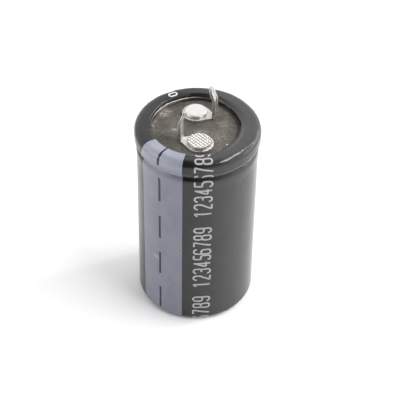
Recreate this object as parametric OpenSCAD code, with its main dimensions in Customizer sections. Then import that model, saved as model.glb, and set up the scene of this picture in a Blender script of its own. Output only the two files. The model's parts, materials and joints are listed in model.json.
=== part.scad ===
// Snap-in aluminium electrolytic capacitor, standing on its closed end with its terminals up.
// The axis of the can is Z, and the surface that it stands on is z = 0.

/* [Can] */
// Outside diameter of the bare aluminium can
can_d = 24.7; // [22:0.1:35]
// Height from the surface it stands on to the top of the sleeved rim
rim_h = 45; // [30:0.5:60]
// Wall of the can
can_wall = 0.4; // [0.3:0.05:0.5]
// Thickness of the closed end
can_end_t = 0.5; // [0.4:0.05:1]
// Outside radius of the corner at the closed end
can_corner_r = 1.2; // [0.8:0.1:2]
// How far the rim stands out from the body
rim_swell = 0.45; // [0.35:0.05:0.7]
// Radius of the rim's lower corner
rim_foot_r = 1.1; // [0.9:0.05:1.2]
// Radius of the rim's upper corner
curl_r = 1.4; // [1:0.1:1.6]
// How far the curled edge reaches in from the outside of the rim
curl_w = 2.95; // [2.6:0.05:3.4]
// Radius at which the curled edge turns down
curl_lip_r = 0.5; // [0.45:0.05:0.8]
// How far the curled edge bites into the rubber
curl_bite = 0.25; // [0.1:0.05:0.5]
// Depth of the rolled bead that the board rests on
bead_depth = 1.15; // [0.9:0.05:1.4]
// Width of the rolled bead
bead_w = 0.8; // [0.6:0.1:1.2]
// Length of each score line of the pressure vent
vent_l = 12; // [8:0.5:16]
// Depth of the score lines
vent_depth = 0.3; // [0.1:0.05:0.35]
// Width of the score lines
vent_w = 0.7; // [0.4:0.1:1]

/* [Sleeve] */
// Thickness of the shrunk sleeve
sleeve_t = 0.2; // [0.1:0.05:0.3]
// How far the sleeve turns in under the closed end
sleeve_wrap = 3; // [2:0.5:6]
// How far the sleeve turns down inside the rim
sleeve_tuck = 1.2; // [0.8:0.05:1.4]
// How far the sleeve sinks in at the bead
sleeve_dip = 0.55; // [0.4:0.05:0.7]
// Height over which the sleeve sinks in
dip_h = 0.8; // [0.8:0.05:1.2]
// Slope of the sleeve from the dip up to the rim
dip_slope = 35; // [30:1:45]
// How far the sleeve stands off the can just below the bead
sleeve_slack = 0.12; // [0.05:0.01:0.2]
// Height over which that slack dies out
sleeve_slack_h = 2.6; // [1.5:0.1:4]

/* [Polarity stripe] */
// Direction of the middle of the stripe, seen from above
stripe_az = -126.7; // [-180:0.1:180]
// Angle that the stripe covers
stripe_angle = 47.4; // [30:0.2:80]
// Thickness of the ink
ink_t = 0.03; // [0.02:0.01:0.05]
// Length of each minus mark
dash_l = 6.3; // [4:0.1:8]
// Gap between minus marks
dash_gap = 4.05; // [2:0.05:6]
// Width of each minus mark
dash_w = 0.55; // [0.4:0.05:1]
// Height of the rim's top above the highest minus mark on the wall
dash_drop = 6.15; // [5.5:0.05:8]
// Height of the rim's top above the foot of the minus mark on the rim
rim_dash_drop = 2.7; // [1:0.1:3.5]

/* [Seal] */
// Depth of the rubber's face below the rim
recess = 1.6; // [1.5:0.05:2]
// Thickness of the rubber facing
rubber_t = 0.8; // [0.6:0.1:1]
// Thickness of the phenolic board
board_t = 1.1; // [0.9:0.1:1.8]
// Gap between the board and the wall of the can
board_gap = 0.25; // [0.2:0.05:0.4]

/* [Terminals] */
// Distance between the centres of the two pins
pin_pitch = 10; // [9:0.5:11]
// Direction of the positive pin, seen from above
pin_az = 49.4; // [45:0.2:52]
// Height of the pin tips above the rim
pin_reach = 6.3; // [5.3:0.1:7.5]
// Thickness of the terminal strip
strip_t = 0.45; // [0.4:0.05:0.6]
// Diameter of the ring under the rivet head
ring_d = 5.8; // [5.2:0.1:6.2]
// Width of the pin
pin_w = 1.7; // [1.4:0.1:2]
// Inside radius of the bend between ring and pin
bend_r = 0.35; // [0.2:0.05:0.5]
// Length of the pin below its knee
knee_h = 3.9; // [3:0.1:4.4]
// Radius of the knee, on the side of the rivet
knee_r = 3; // [1.5:0.1:5]
// How far the tip leans back over the rivet
pin_lean = 0.9; // [0.4:0.05:1.2]
// Depth of the pin across its folded edges
fold_depth = 0.78; // [0.65:0.01:0.9]
// Thickness of the two folded edges
fold_t = 0.4; // [0.3:0.05:0.5]
// Height of the folded edges above the bend
fold_foot = 0.35; // [0.1:0.05:0.8]
// Height of the slope that ends them at the foot
fold_slope = 0.45; // [0.3:0.05:0.8]
// Depth of the pin across its folded edges at the tip
tip_depth = 0.6; // [0.6:0.01:0.7]
// Width of the pin's tip
tip_w = 0.9; // [0.6:0.1:1.2]
// Length of the tapered tip
tip_l = 1.2; // [0.8:0.1:2]

/* [Rivets] */
// Distance between the centres of the two rivets
rivet_pitch = 10; // [9.4:0.1:11]
// Direction of the positive rivet, seen from above
rivet_az = 95.6; // [93:0.2:100]
// Diameter of the rivet's outer head
head_d = 4.75; // [4:0.05:5.1]
// Thickness of the outer head
head_t = 0.7; // [0.5:0.05:0.9]
// Chamfer round the outer head
head_chamfer = 0.15; // [0.05:0.05:0.3]
// Diameter of the rivet's shank
shank_d = 2.4; // [1.8:0.1:2.8]
// Diameter of the clinched inner end
clinch_d = 4; // [3.4:0.1:4.6]
// Thickness of the clinched inner end
clinch_t = 0.5; // [0.3:0.05:0.8]
// Distance between the grooves of the negative rivet's knurl
knurl_pitch = 0.66; // [0.5:0.01:0.9]
// Depth of those grooves
knurl_depth = 0.18; // [0.1:0.01:0.2]
// Diameter of the inner washer
washer_d = 6; // [5:0.1:6.6]
// Thickness of the inner washer
washer_t = 0.6; // [0.4:0.05:0.8]

/* [Winding] */
// Gap between the taped winding and the wall of the can
winding_gap = 0.35; // [0.2:0.05:0.8]
// Gap between the board and the top of the winding
headspace = 4.6; // [4.2:0.1:6]
// Diameter of the hole that the winding mandrel leaves
mandrel_d = 3.2; // [2:0.1:4]
// Height by which the paper stands past the foil at each end
paper_margin = 1; // [0.5:0.1:2]
// Distance from one drawn turn to the next
turn_pitch = 1.2; // [1:0.1:2]
// Thickness of a drawn turn
turn_t = 0.6; // [0.4:0.05:0.8]
// Thickness of the tape round the winding
tape_t = 0.1; // [0.05:0.01:0.2]
// Height of the tape
tape_h = 14; // [8:1:20]
// Width of the ribbons that lead up to the rivets
tab_w = 5; // [4:0.1:6]
// Thickness of those ribbons
tab_t = 0.2; // [0.15:0.01:0.3]
// Depth to which a ribbon runs down between the turns
tab_root = 3; // [2:0.5:6]
// How far a ribbon reaches out from its rivet before it folds back
tab_reach = 3.6; // [3.2:0.1:4]
// Radius of the ribbons' folds
tab_bend_r = 0.6; // [0.4:0.05:0.8]

/* [Hidden] */

$fn = 96;
// Straight pieces that draw one rounded corner of an outline
corner_steps = 8;
// Straight pieces that draw one turn of the winding
turn_steps = 30;
// Reach of a cutting tool past the face that it cuts
over = 1;

can_r = can_d / 2;
rim_r = can_r + rim_swell;
lip_r = rim_r - curl_w;
can_bottom = sleeve_t;
can_floor = can_bottom + can_end_t;
can_top = rim_h - sleeve_t;
rubber_top = rim_h - recess;
rubber_bottom = rubber_top - rubber_t;
board_bottom = rubber_bottom - board_t;
bead_top = board_bottom - can_wall;
bead_bottom = bead_top - bead_w;
board_r = can_r - can_wall - board_gap;
winding_top = board_bottom - headspace;
winding_r = can_r - can_wall - winding_gap - tape_t;
strip_top = rubber_top + strip_t;
head_top = strip_top + head_t;
washer_top = board_bottom - tab_t;
washer_bottom = washer_top - washer_t;
pin_tip = rim_h + pin_reach;

rivet_at = rivet_pitch / 2 * [cos(rivet_az), sin(rivet_az)];
pin_at = pin_pitch / 2 * [cos(pin_az), sin(pin_az)];
// Distance and direction from a rivet to the pin that it holds
strip_l = norm(pin_at - rivet_at);
strip_az = atan2(pin_at[1] - rivet_at[1], pin_at[0] - rivet_at[0]);

// Outlines of walls. Each is a line of corners on one side of a wall, walked with the outside of
// the wall on the right hand, so that shifting the line moves every face by the same distance.

function unit(v) = v / norm(v);
function right_of(a, b) = let (d = unit(b - a)) [d[1], -d[0]];
function turn_of(a, b, c) = sign(cross(b - a, c - b));

function shifted(line, d) = [
    for (i = [0 : len(line) - 1])
        let (
            last = len(line) - 1,
            before = right_of(line[max(i, 1) - 1], line[max(i, 1)]),
            after = right_of(line[min(i, last - 1)], line[min(i, last - 1) + 1])
        )
        line[i] + d * (before + after) / (1 + before * after)
];

function corner_arc(a, b, c, r) =
    let (
        to_a = unit(a - b),
        to_c = unit(c - b),
        half = acos(to_a * to_c) / 2,
        centre = b + unit(to_a + to_c) * r / sin(half),
        start = b + to_a * r / tan(half) - centre,
        from = atan2(start[1], start[0]),
        sweep = turn_of(a, b, c) * (180 - 2 * half)
    )
    [for (k = [0 : corner_steps]) centre + r * [cos(from + sweep * k / corner_steps),
                                                sin(from + sweep * k / corner_steps)]];

// The line moved outwards by d, with its corners rounded. A corner that turns outwards grows
// with the shift and one that turns inwards shrinks, so both sides of a wall stay parallel.
function rounded(line, radii, d = 0) =
    let (moved = shifted(line, d), last = len(line) - 1)
    [for (i = [0 : last])
        each i == 0 || i == last || radii[i] == 0
            ? [moved[i]]
            : corner_arc(moved[i - 1], moved[i], moved[i + 1],
                         radii[i] + d * turn_of(line[i - 1], line[i], line[i + 1]))];

function reversed(list) = [for (i = [len(list) - 1 : -1 : 0]) list[i]];

// A wall between two shifts of one line
module wall_section(line, radii, from, to) {
    polygon(concat(rounded(line, radii, to), reversed(rounded(line, radii, from))));
}

// Outside of the can from its wall at the closed end to its curled edge
can_line = [
    [can_r - can_corner_r - 1, can_bottom],
    [can_r, can_bottom],
    [can_r, bead_bottom],
    [can_r - bead_depth, bead_bottom],
    [can_r - bead_depth, bead_top],
    [rim_r, bead_top],
    [rim_r, can_top],
    [lip_r, can_top],
    [lip_r, rubber_top - curl_bite]
];
bead_mouth_r = 0.45;
bead_root_r = bead_w / 2 - 0.05;
can_radii = [0, can_corner_r, bead_mouth_r, bead_root_r, bead_root_r, rim_foot_r, curl_r,
             curl_lip_r, 0];

// Outside of the sleeve, which lies on the can and bridges the bead. The slope up from the dip
// is tangent to the sleeve's round corner under the rim.
slope_end = bead_top + rim_foot_r - (rim_foot_r + sleeve_t) / tan(45 + dip_slope / 2);
dip_z = slope_end - (rim_swell + sleeve_dip) * tan(dip_slope);
slack_z = dip_z - dip_h;
sleeve_line = [
    [can_r + sleeve_t - sleeve_wrap, 0],
    [can_r + sleeve_t, 0],
    [can_r + sleeve_t, slack_z - sleeve_slack_h],
    [can_r + sleeve_t + sleeve_slack, slack_z],
    [can_r + sleeve_t - sleeve_dip, dip_z],
    [rim_r + sleeve_t, slope_end],
    [rim_r + sleeve_t, rim_h],
    [lip_r - sleeve_t, rim_h],
    [lip_r - sleeve_t, rim_h - sleeve_tuck]
];
slack_start_r = 8;
slack_end_r = 0.6;
dip_r = 0.25;
sleeve_radii = [0, can_corner_r + sleeve_t, slack_start_r, slack_end_r, dip_r,
                rim_foot_r + sleeve_t, curl_r + sleeve_t, curl_lip_r + sleeve_t, 0];

// Can and sleeve

module vent_score() {
    translate([0, 0, can_bottom])
        rotate([90, 0, 90])
            linear_extrude(vent_l, center = true)
                polygon([[-vent_w / 2, -over], [vent_w / 2, -over], [vent_w / 2, 0],
                         [0, vent_depth], [-vent_w / 2, 0]]);
}

module can() {
    color("silver")
    difference() {
        union() {
            rotate_extrude()
                wall_section(can_line, can_radii, -can_wall, 0);
            translate([0, 0, can_bottom])
                cylinder(h = can_end_t, r = can_r - can_corner_r);
        }
        for (turn = [45, 135])
            rotate(turn)
                vent_score();
    }
}

// The ink stops this high, so that the can stands on its sleeve
ink_foot = 0.3;
// Reach of the tool that cuts the ink's seat past the sleeve's face
seat_over = 0.1;

module dash_cut(low, high, inner) {
    translate([inner, -dash_w / 2, low])
        cube([rim_r + sleeve_t + over - inner, dash_w, high - low]);
}

// Ink from its underside, sunk in the sleeve, to a shift of the sleeve's face
module ink(face) {
    first_top = rim_h - dash_drop;
    step = dash_l + dash_gap;
    rotate(stripe_az)
    difference() {
        rotate(-stripe_angle / 2)
            rotate_extrude(angle = stripe_angle)
                wall_section(sleeve_line, sleeve_radii, -ink_t, face);
        translate([0, 0, -over])
            cylinder(h = over + ink_foot, r = rim_r + sleeve_t + over);
        for (top = [first_top : -step : dash_l])
            dash_cut(top - dash_l, top, can_r - over);
        dash_cut(rim_h - rim_dash_drop, rim_h + over, lip_r - sleeve_t - over);
    }
}

module polarity_stripe() {
    color("#8f93a3")
    ink(0);
}

module sleeve() {
    color("#2b2c2e")
    difference() {
        rotate_extrude()
            wall_section(sleeve_line, sleeve_radii, -sleeve_t, 0);
        ink(seat_over);
    }
}

// Seal and board

module rivet_holes(low, high) {
    for (side = [1, -1])
        translate([side * rivet_at[0], side * rivet_at[1], low])
            cylinder(h = high - low, d = shank_d);
}

module seal_rubber() {
    color("#4b483f")
    difference() {
        translate([0, 0, rubber_bottom])
            cylinder(h = rubber_t, r = rim_r - can_wall);
        rivet_holes(rubber_bottom - over, rubber_top + over);
        translate([0, 0, rubber_top - curl_bite])
            difference() {
                cylinder(h = curl_bite + over, r = lip_r + can_wall);
                translate([0, 0, -over])
                    cylinder(h = curl_bite + 3 * over, r = lip_r);
            }
    }
}

module terminal_board() {
    color("#7a4a2a")
    difference() {
        translate([0, 0, board_bottom])
            cylinder(h = board_t, r = board_r);
        rivet_holes(board_bottom - over, rubber_bottom + over);
    }
}

// Rivets

module knurl() {
    count = ceil(head_d / knurl_pitch / 2);
    for (turn = [45, -45])
        rotate(turn)
            for (i = [-count : count])
                translate([0, i * knurl_pitch, head_top])
                    rotate([90, 0, 90])
                        linear_extrude(head_d + 2 * over, center = true)
                            polygon([[0, -knurl_depth], [knurl_depth + over, over],
                                     [-knurl_depth - over, over]]);
}

module rivet_body() {
    translate([0, 0, strip_top])
        cylinder(h = head_t - head_chamfer, d = head_d);
    translate([0, 0, head_top - head_chamfer])
        cylinder(h = head_chamfer, d1 = head_d, d2 = head_d - 2 * head_chamfer);
    translate([0, 0, washer_bottom])
        cylinder(h = strip_top - washer_bottom, d = shank_d);
    translate([0, 0, washer_bottom - clinch_t])
        cylinder(h = clinch_t, d = clinch_d);
}

// The positive side is where rivet_at and pin_at point. The negative side is half a turn on.
module negative_side() {
    rotate(180)
        children();
}

module rivet_positive() {
    color("gainsboro")
    translate([rivet_at[0], rivet_at[1], 0])
        rivet_body();
}

module rivet_negative() {
    color("gainsboro")
    negative_side()
        translate([rivet_at[0], rivet_at[1], 0])
            difference() {
                rivet_body();
                knurl();
            }
}

// Terminals. In their own frame the rivet is at the origin, the pin stands on +X, and z = 0 is
// the rubber's face.

pin_foot = strip_t + bend_r;
pin_l = pin_tip - rubber_top - pin_foot;
pin_face = strip_l - strip_t / 2;

// Ring with two tangents that run to the corners of the bend
module ring_outline() {
    corner = [pin_face - bend_r, pin_w / 2];
    touch = atan2(corner[1], corner[0]) + acos(ring_d / 2 / norm(corner));
    tangent = ring_d / 2 * [cos(touch), sin(touch)];
    circle(d = ring_d);
    polygon([tangent, corner, [corner[0], -corner[1]], [tangent[0], -tangent[1]]]);
}

module strip_bend() {
    translate([pin_face - bend_r, 0, pin_foot])
        rotate([90, 0, 0])
            translate([0, 0, -pin_w / 2])
                rotate([0, 0, -90])
                    rotate_extrude(angle = 90)
                        translate([bend_r, 0])
                            square([strip_t, pin_w]);
}

// Side view of the pin's face towards the rivet, x away from the rivet and y up
pin_line = [[0, 0], [0, knee_h], [-pin_lean, pin_l]];
pin_radii = [0, knee_r, 0];

module side_plate(y, t) {
    translate([0, y + t, 0])
        rotate([90, 0, 0])
            linear_extrude(t)
                children();
}

module folded_edge() {
    tip = [-pin_lean, pin_l];
    intersection() {
        wall_section(pin_line, pin_radii, 0, fold_depth);
        polygon([[-pin_lean - over, 0], [strip_t, 0], [strip_t, fold_foot],
                 [fold_depth, fold_foot + fold_slope], [fold_depth + over, fold_foot + fold_slope],
                 [fold_depth + over, knee_h], tip + [tip_depth, 0], tip + [tip_depth, over],
                 tip + [-over, over]]);
    }
}

// Front view of the pin with its tapered tip
module pin_front() {
    depth = pin_lean + fold_depth + 2 * over;
    translate([-pin_lean - over, 0, 0])
        rotate([90, 0, 90])
            linear_extrude(depth)
                polygon([[-pin_w / 2, 0], [pin_w / 2, 0], [pin_w / 2, pin_l - tip_l],
                         [tip_w / 2, pin_l], [-tip_w / 2, pin_l], [-pin_w / 2, pin_l - tip_l]]);
}

module pin() {
    translate([pin_face, 0, pin_foot])
        intersection() {
            union() {
                side_plate(-pin_w / 2, pin_w)
                    wall_section(pin_line, pin_radii, 0, strip_t);
                side_plate(-pin_w / 2, fold_t)
                    folded_edge();
                side_plate(pin_w / 2 - fold_t, fold_t)
                    folded_edge();
            }
            pin_front();
        }
}

module terminal() {
    translate([rivet_at[0], rivet_at[1], rubber_top])
        rotate(strip_az) {
            difference() {
                linear_extrude(strip_t)
                    ring_outline();
                translate([0, 0, -over])
                    cylinder(h = strip_t + 2 * over, d = shank_d);
            }
            strip_bend();
            pin();
        }
}

module terminal_positive() {
    color("lightgray")
    terminal();
}

module terminal_negative() {
    color("lightgray")
    negative_side()
        terminal();
}

// Inner washers and ribbons

module inner_washer() {
    translate([rivet_at[0], rivet_at[1], washer_bottom])
        difference() {
            cylinder(h = washer_t, d = washer_d);
            translate([0, 0, -over])
                cylinder(h = washer_t + 2 * over, d = shank_d);
        }
}

module inner_washer_positive() {
    color("silver")
    inner_washer();
}

module inner_washer_negative() {
    color("silver")
    negative_side()
        inner_washer();
}

// Side view of a ribbon, x outwards from its rivet and y up: flat under the board, folded back
// below the rivet, and down into the winding
tab_back = washer_bottom - clinch_t - board_bottom - tab_bend_r;
tab_line = [
    [-tab_w / 2 - 0.3, 0],
    [tab_reach, 0],
    [tab_reach, tab_back],
    [0, tab_back],
    [0, winding_top - tab_root - board_bottom]
];
tab_radii = [0, tab_bend_r, tab_bend_r, tab_bend_r, 0];

module at_rivet_radially() {
    translate([rivet_at[0], rivet_at[1], 0])
        rotate(rivet_az)
            children();
}

module lead_tab() {
    difference() {
        at_rivet_radially()
            translate([0, tab_w / 2, board_bottom])
                rotate([90, 0, 0])
                    linear_extrude(tab_w)
                        wall_section(tab_line, tab_radii, 0, tab_t);
        rivet_holes(washer_top - over, board_bottom + over);
    }
}

module lead_tab_positive() {
    color("whitesmoke")
    lead_tab();
}

module lead_tab_negative() {
    color("whitesmoke")
    negative_side()
        lead_tab();
}

// Winding

// Wall of drawn turns from the mandrel's hole to the outside
module turns() {
    inner = mandrel_d / 2;
    count = (winding_r - turn_t - inner) / turn_pitch;
    steps = floor(count * turn_steps);
    function at(i, extra) =
        let (angle = 360 * i / turn_steps, r = inner + turn_pitch * i / turn_steps + extra)
        r * [cos(angle), sin(angle)];
    linear_extrude(winding_top - can_floor)
        polygon(concat([for (i = [0 : steps]) at(i, 0)],
                       [for (i = [steps : -1 : 0]) at(i, turn_t)]));
}

module tab_slot() {
    at_rivet_radially()
        translate([-tab_t, -tab_w / 2, winding_top - tab_root])
            cube([tab_t, tab_w, tab_root + over]);
}

module wound_element() {
    color("wheat")
    difference() {
        union() {
            translate([0, 0, can_floor + paper_margin])
                cylinder(h = winding_top - can_floor - 2 * paper_margin, r = winding_r);
            translate([0, 0, can_floor])
                turns();
            translate([0, 0, can_floor])
                difference() {
                    cylinder(h = winding_top - can_floor, r = winding_r);
                    translate([0, 0, -over])
                        cylinder(h = winding_top - can_floor + 2 * over, r = winding_r - turn_t);
                }
        }
        translate([0, 0, can_floor - over])
            cylinder(h = winding_top - can_floor + 2 * over, d = mandrel_d);
        tab_slot();
        negative_side()
            tab_slot();
    }
}

module element_tape() {
    middle = (can_floor + winding_top) / 2;
    color("#d9c48a")
    translate([0, 0, middle - tape_h / 2])
        difference() {
            cylinder(h = tape_h, r = winding_r + tape_t);
            translate([0, 0, -over])
                cylinder(h = tape_h + 2 * over, r = winding_r);
        }
}

can();
sleeve();
polarity_stripe();
seal_rubber();
terminal_board();
rivet_negative();
rivet_positive();
terminal_negative();
terminal_positive();
inner_washer_negative();
inner_washer_positive();
lead_tab_negative();
lead_tab_positive();
wound_element();
element_tape();
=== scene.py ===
"""Looks of a snap-in electrolytic capacitor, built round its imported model.

The can stands on its closed end with its pins up. Lengths in this file are in millimetres and
angles in degrees, as on a drawing; a piece is brought to metres when its mesh is finished. The
axis of the can is Z and the surface that it stands on is z = 0.
"""

from __future__ import annotations

import json
import logging
import math
from dataclasses import dataclass, field
from enum import Enum
from typing import Callable, Sequence

import bmesh
import bpy
from mathutils import Matrix, Vector, noise

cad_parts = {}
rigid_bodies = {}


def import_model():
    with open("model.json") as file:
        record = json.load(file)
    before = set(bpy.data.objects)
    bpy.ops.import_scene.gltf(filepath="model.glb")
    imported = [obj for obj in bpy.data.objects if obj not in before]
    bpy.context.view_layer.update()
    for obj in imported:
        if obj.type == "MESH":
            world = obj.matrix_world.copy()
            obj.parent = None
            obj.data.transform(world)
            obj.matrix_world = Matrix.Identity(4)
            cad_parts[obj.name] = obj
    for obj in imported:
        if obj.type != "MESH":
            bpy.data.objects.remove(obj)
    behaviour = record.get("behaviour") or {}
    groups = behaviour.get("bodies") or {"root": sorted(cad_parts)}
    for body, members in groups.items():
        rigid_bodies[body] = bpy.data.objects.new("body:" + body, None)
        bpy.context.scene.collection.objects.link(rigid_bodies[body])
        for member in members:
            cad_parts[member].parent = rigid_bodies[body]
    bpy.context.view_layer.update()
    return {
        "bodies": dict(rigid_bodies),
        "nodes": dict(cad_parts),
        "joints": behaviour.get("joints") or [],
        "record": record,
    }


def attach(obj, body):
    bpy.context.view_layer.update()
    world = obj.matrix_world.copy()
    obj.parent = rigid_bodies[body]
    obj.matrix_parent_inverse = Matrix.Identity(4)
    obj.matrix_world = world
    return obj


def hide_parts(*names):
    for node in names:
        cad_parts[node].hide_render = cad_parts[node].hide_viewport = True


MM = 0.001
BODY = "root"

log = logging.getLogger("capacitor")

Point = tuple[float, float]
Spot = tuple[float, float, float]
Colour = tuple[float, float, float]
Patch = tuple[Spot, Spot]  # a place and the reach from it along each axis
Piece = bpy.types.Object
Finish = bpy.types.Material

# --- Outlines ---


def clamped(value: float) -> float:
    """Keeps a share between 0 and 1."""
    return min(1.0, max(0.0, value))


def off_axis(point: Vector) -> float:
    """Gives a point's distance from the axis of the can."""
    return math.hypot(point.x, point.y)


def round_point(radius: float, azimuth: float, height: float) -> Vector:
    """Gives the place at a radius, a direction seen from above and a height."""
    turn = math.radians(azimuth)
    return Vector((radius * math.cos(turn), radius * math.sin(turn), height))


def unevenness(point: Vector, across: float, along: float, phase: float) -> float:
    """Gives smooth noise round 0, by its waves across the axis and along it."""
    return noise.noise(Vector((point.x * across, point.y * across, point.z * along + phase)))


def turn_at(a: Vector, b: Vector, c: Vector) -> float:
    """Says which way a walk turns at b: 1 to the left, -1 to the right."""
    return math.copysign(1.0, (b - a).x * (c - b).y - (b - a).y * (c - b).x)


def arc_at(a: Vector, b: Vector, c: Vector, radius: float, steps: int) -> list[Vector]:
    """Rounds the corner b between a and c.

    Args:
        a: The corner before.
        b: The corner that is rounded.
        c: The corner after.
        radius: Radius of the rounding.
        steps: Straight pieces in the arc.

    Returns:
        The points of the arc, in the order of the walk.
    """
    to_a, to_c = (a - b).normalized(), (c - b).normalized()
    half = math.acos(max(-1.0, min(1.0, to_a.dot(to_c)))) / 2
    centre = b + (to_a + to_c).normalized() * radius / math.sin(half)
    start = b + to_a * radius / math.tan(half) - centre
    first = math.atan2(start.y, start.x)
    sweep = turn_at(a, b, c) * (math.pi - 2 * half)
    angles = [first + sweep * k / steps for k in range(steps + 1)]
    return [centre + radius * Vector((math.cos(t), math.sin(t))) for t in angles]


def rounded_off(corners: Sequence[Vector], radii: Sequence[float], steps: int) -> list[Vector]:
    """Rounds the corners of a line.

    Args:
        corners: The corners.
        radii: One rounding for each corner, nought for a sharp one and at the ends.
        steps: Straight pieces in one rounded corner.

    Returns:
        The points of the line.
    """
    points: list[Vector] = []
    for i, (corner, radius) in enumerate(zip(corners, radii)):
        if radius == 0:
            points.append(corner)
        else:
            points.extend(arc_at(corners[i - 1], corner, corners[i + 1], radius, steps))
    return points


def evened(points: Sequence[Vector], spacing: float) -> list[Vector]:
    """Adds points on long stretches, so that none is longer than the spacing.

    Args:
        points: The line.
        spacing: Longest stretch that is left.

    Returns:
        The line with its added points.
    """
    line = [points[0]]
    for a, b in zip(points, points[1:]):
        gap = (b - a).length
        if gap < 1e-6:
            continue
        count = max(1, math.ceil(gap / spacing))
        line.extend(a.lerp(b, k / count) for k in range(1, count + 1))
    return line


@dataclass(frozen=True)
class Outline:
    """An open line of corners in the plane of radius and height, walked outside on the right.

    Attributes:
        corners: The corners as (radius, height).
        radii: One rounding for each corner, nought at the ends.
    """

    corners: tuple[Point, ...]
    radii: tuple[float, ...]

    def shifted(self, distance: float) -> list[Vector]:
        """Moves every stretch outwards.

        Args:
            distance: How far to the right of the walk the line goes.

        Returns:
            The moved corners.
        """
        points = [Vector(c) for c in self.corners]
        runs = [(b - a).normalized() for a, b in zip(points, points[1:])]
        sides = [Vector((run.y, -run.x)) for run in runs]
        moved = []
        for i, point in enumerate(points):
            before, after = sides[max(i - 1, 0)], sides[min(i, len(sides) - 1)]
            moved.append(point + distance * (before + after) / (1 + before.dot(after)))
        return moved

    def rounded(self, distance: float = 0.0, steps: int = 10) -> list[Vector]:
        """Draws the line with rounded corners, at a shift that keeps both sides parallel.

        Args:
            distance: How far outwards the line is shifted.
            steps: Straight pieces in one rounded corner.

        Returns:
            The points of the line.
        """
        given = [Vector(c) for c in self.corners]
        radii = [
            radius and radius + distance * turn_at(*given[i - 1 : i + 2])
            for i, radius in enumerate(self.radii)
        ]
        return rounded_off(self.shifted(distance), radii, steps)


# --- Modelling bench ---


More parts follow.
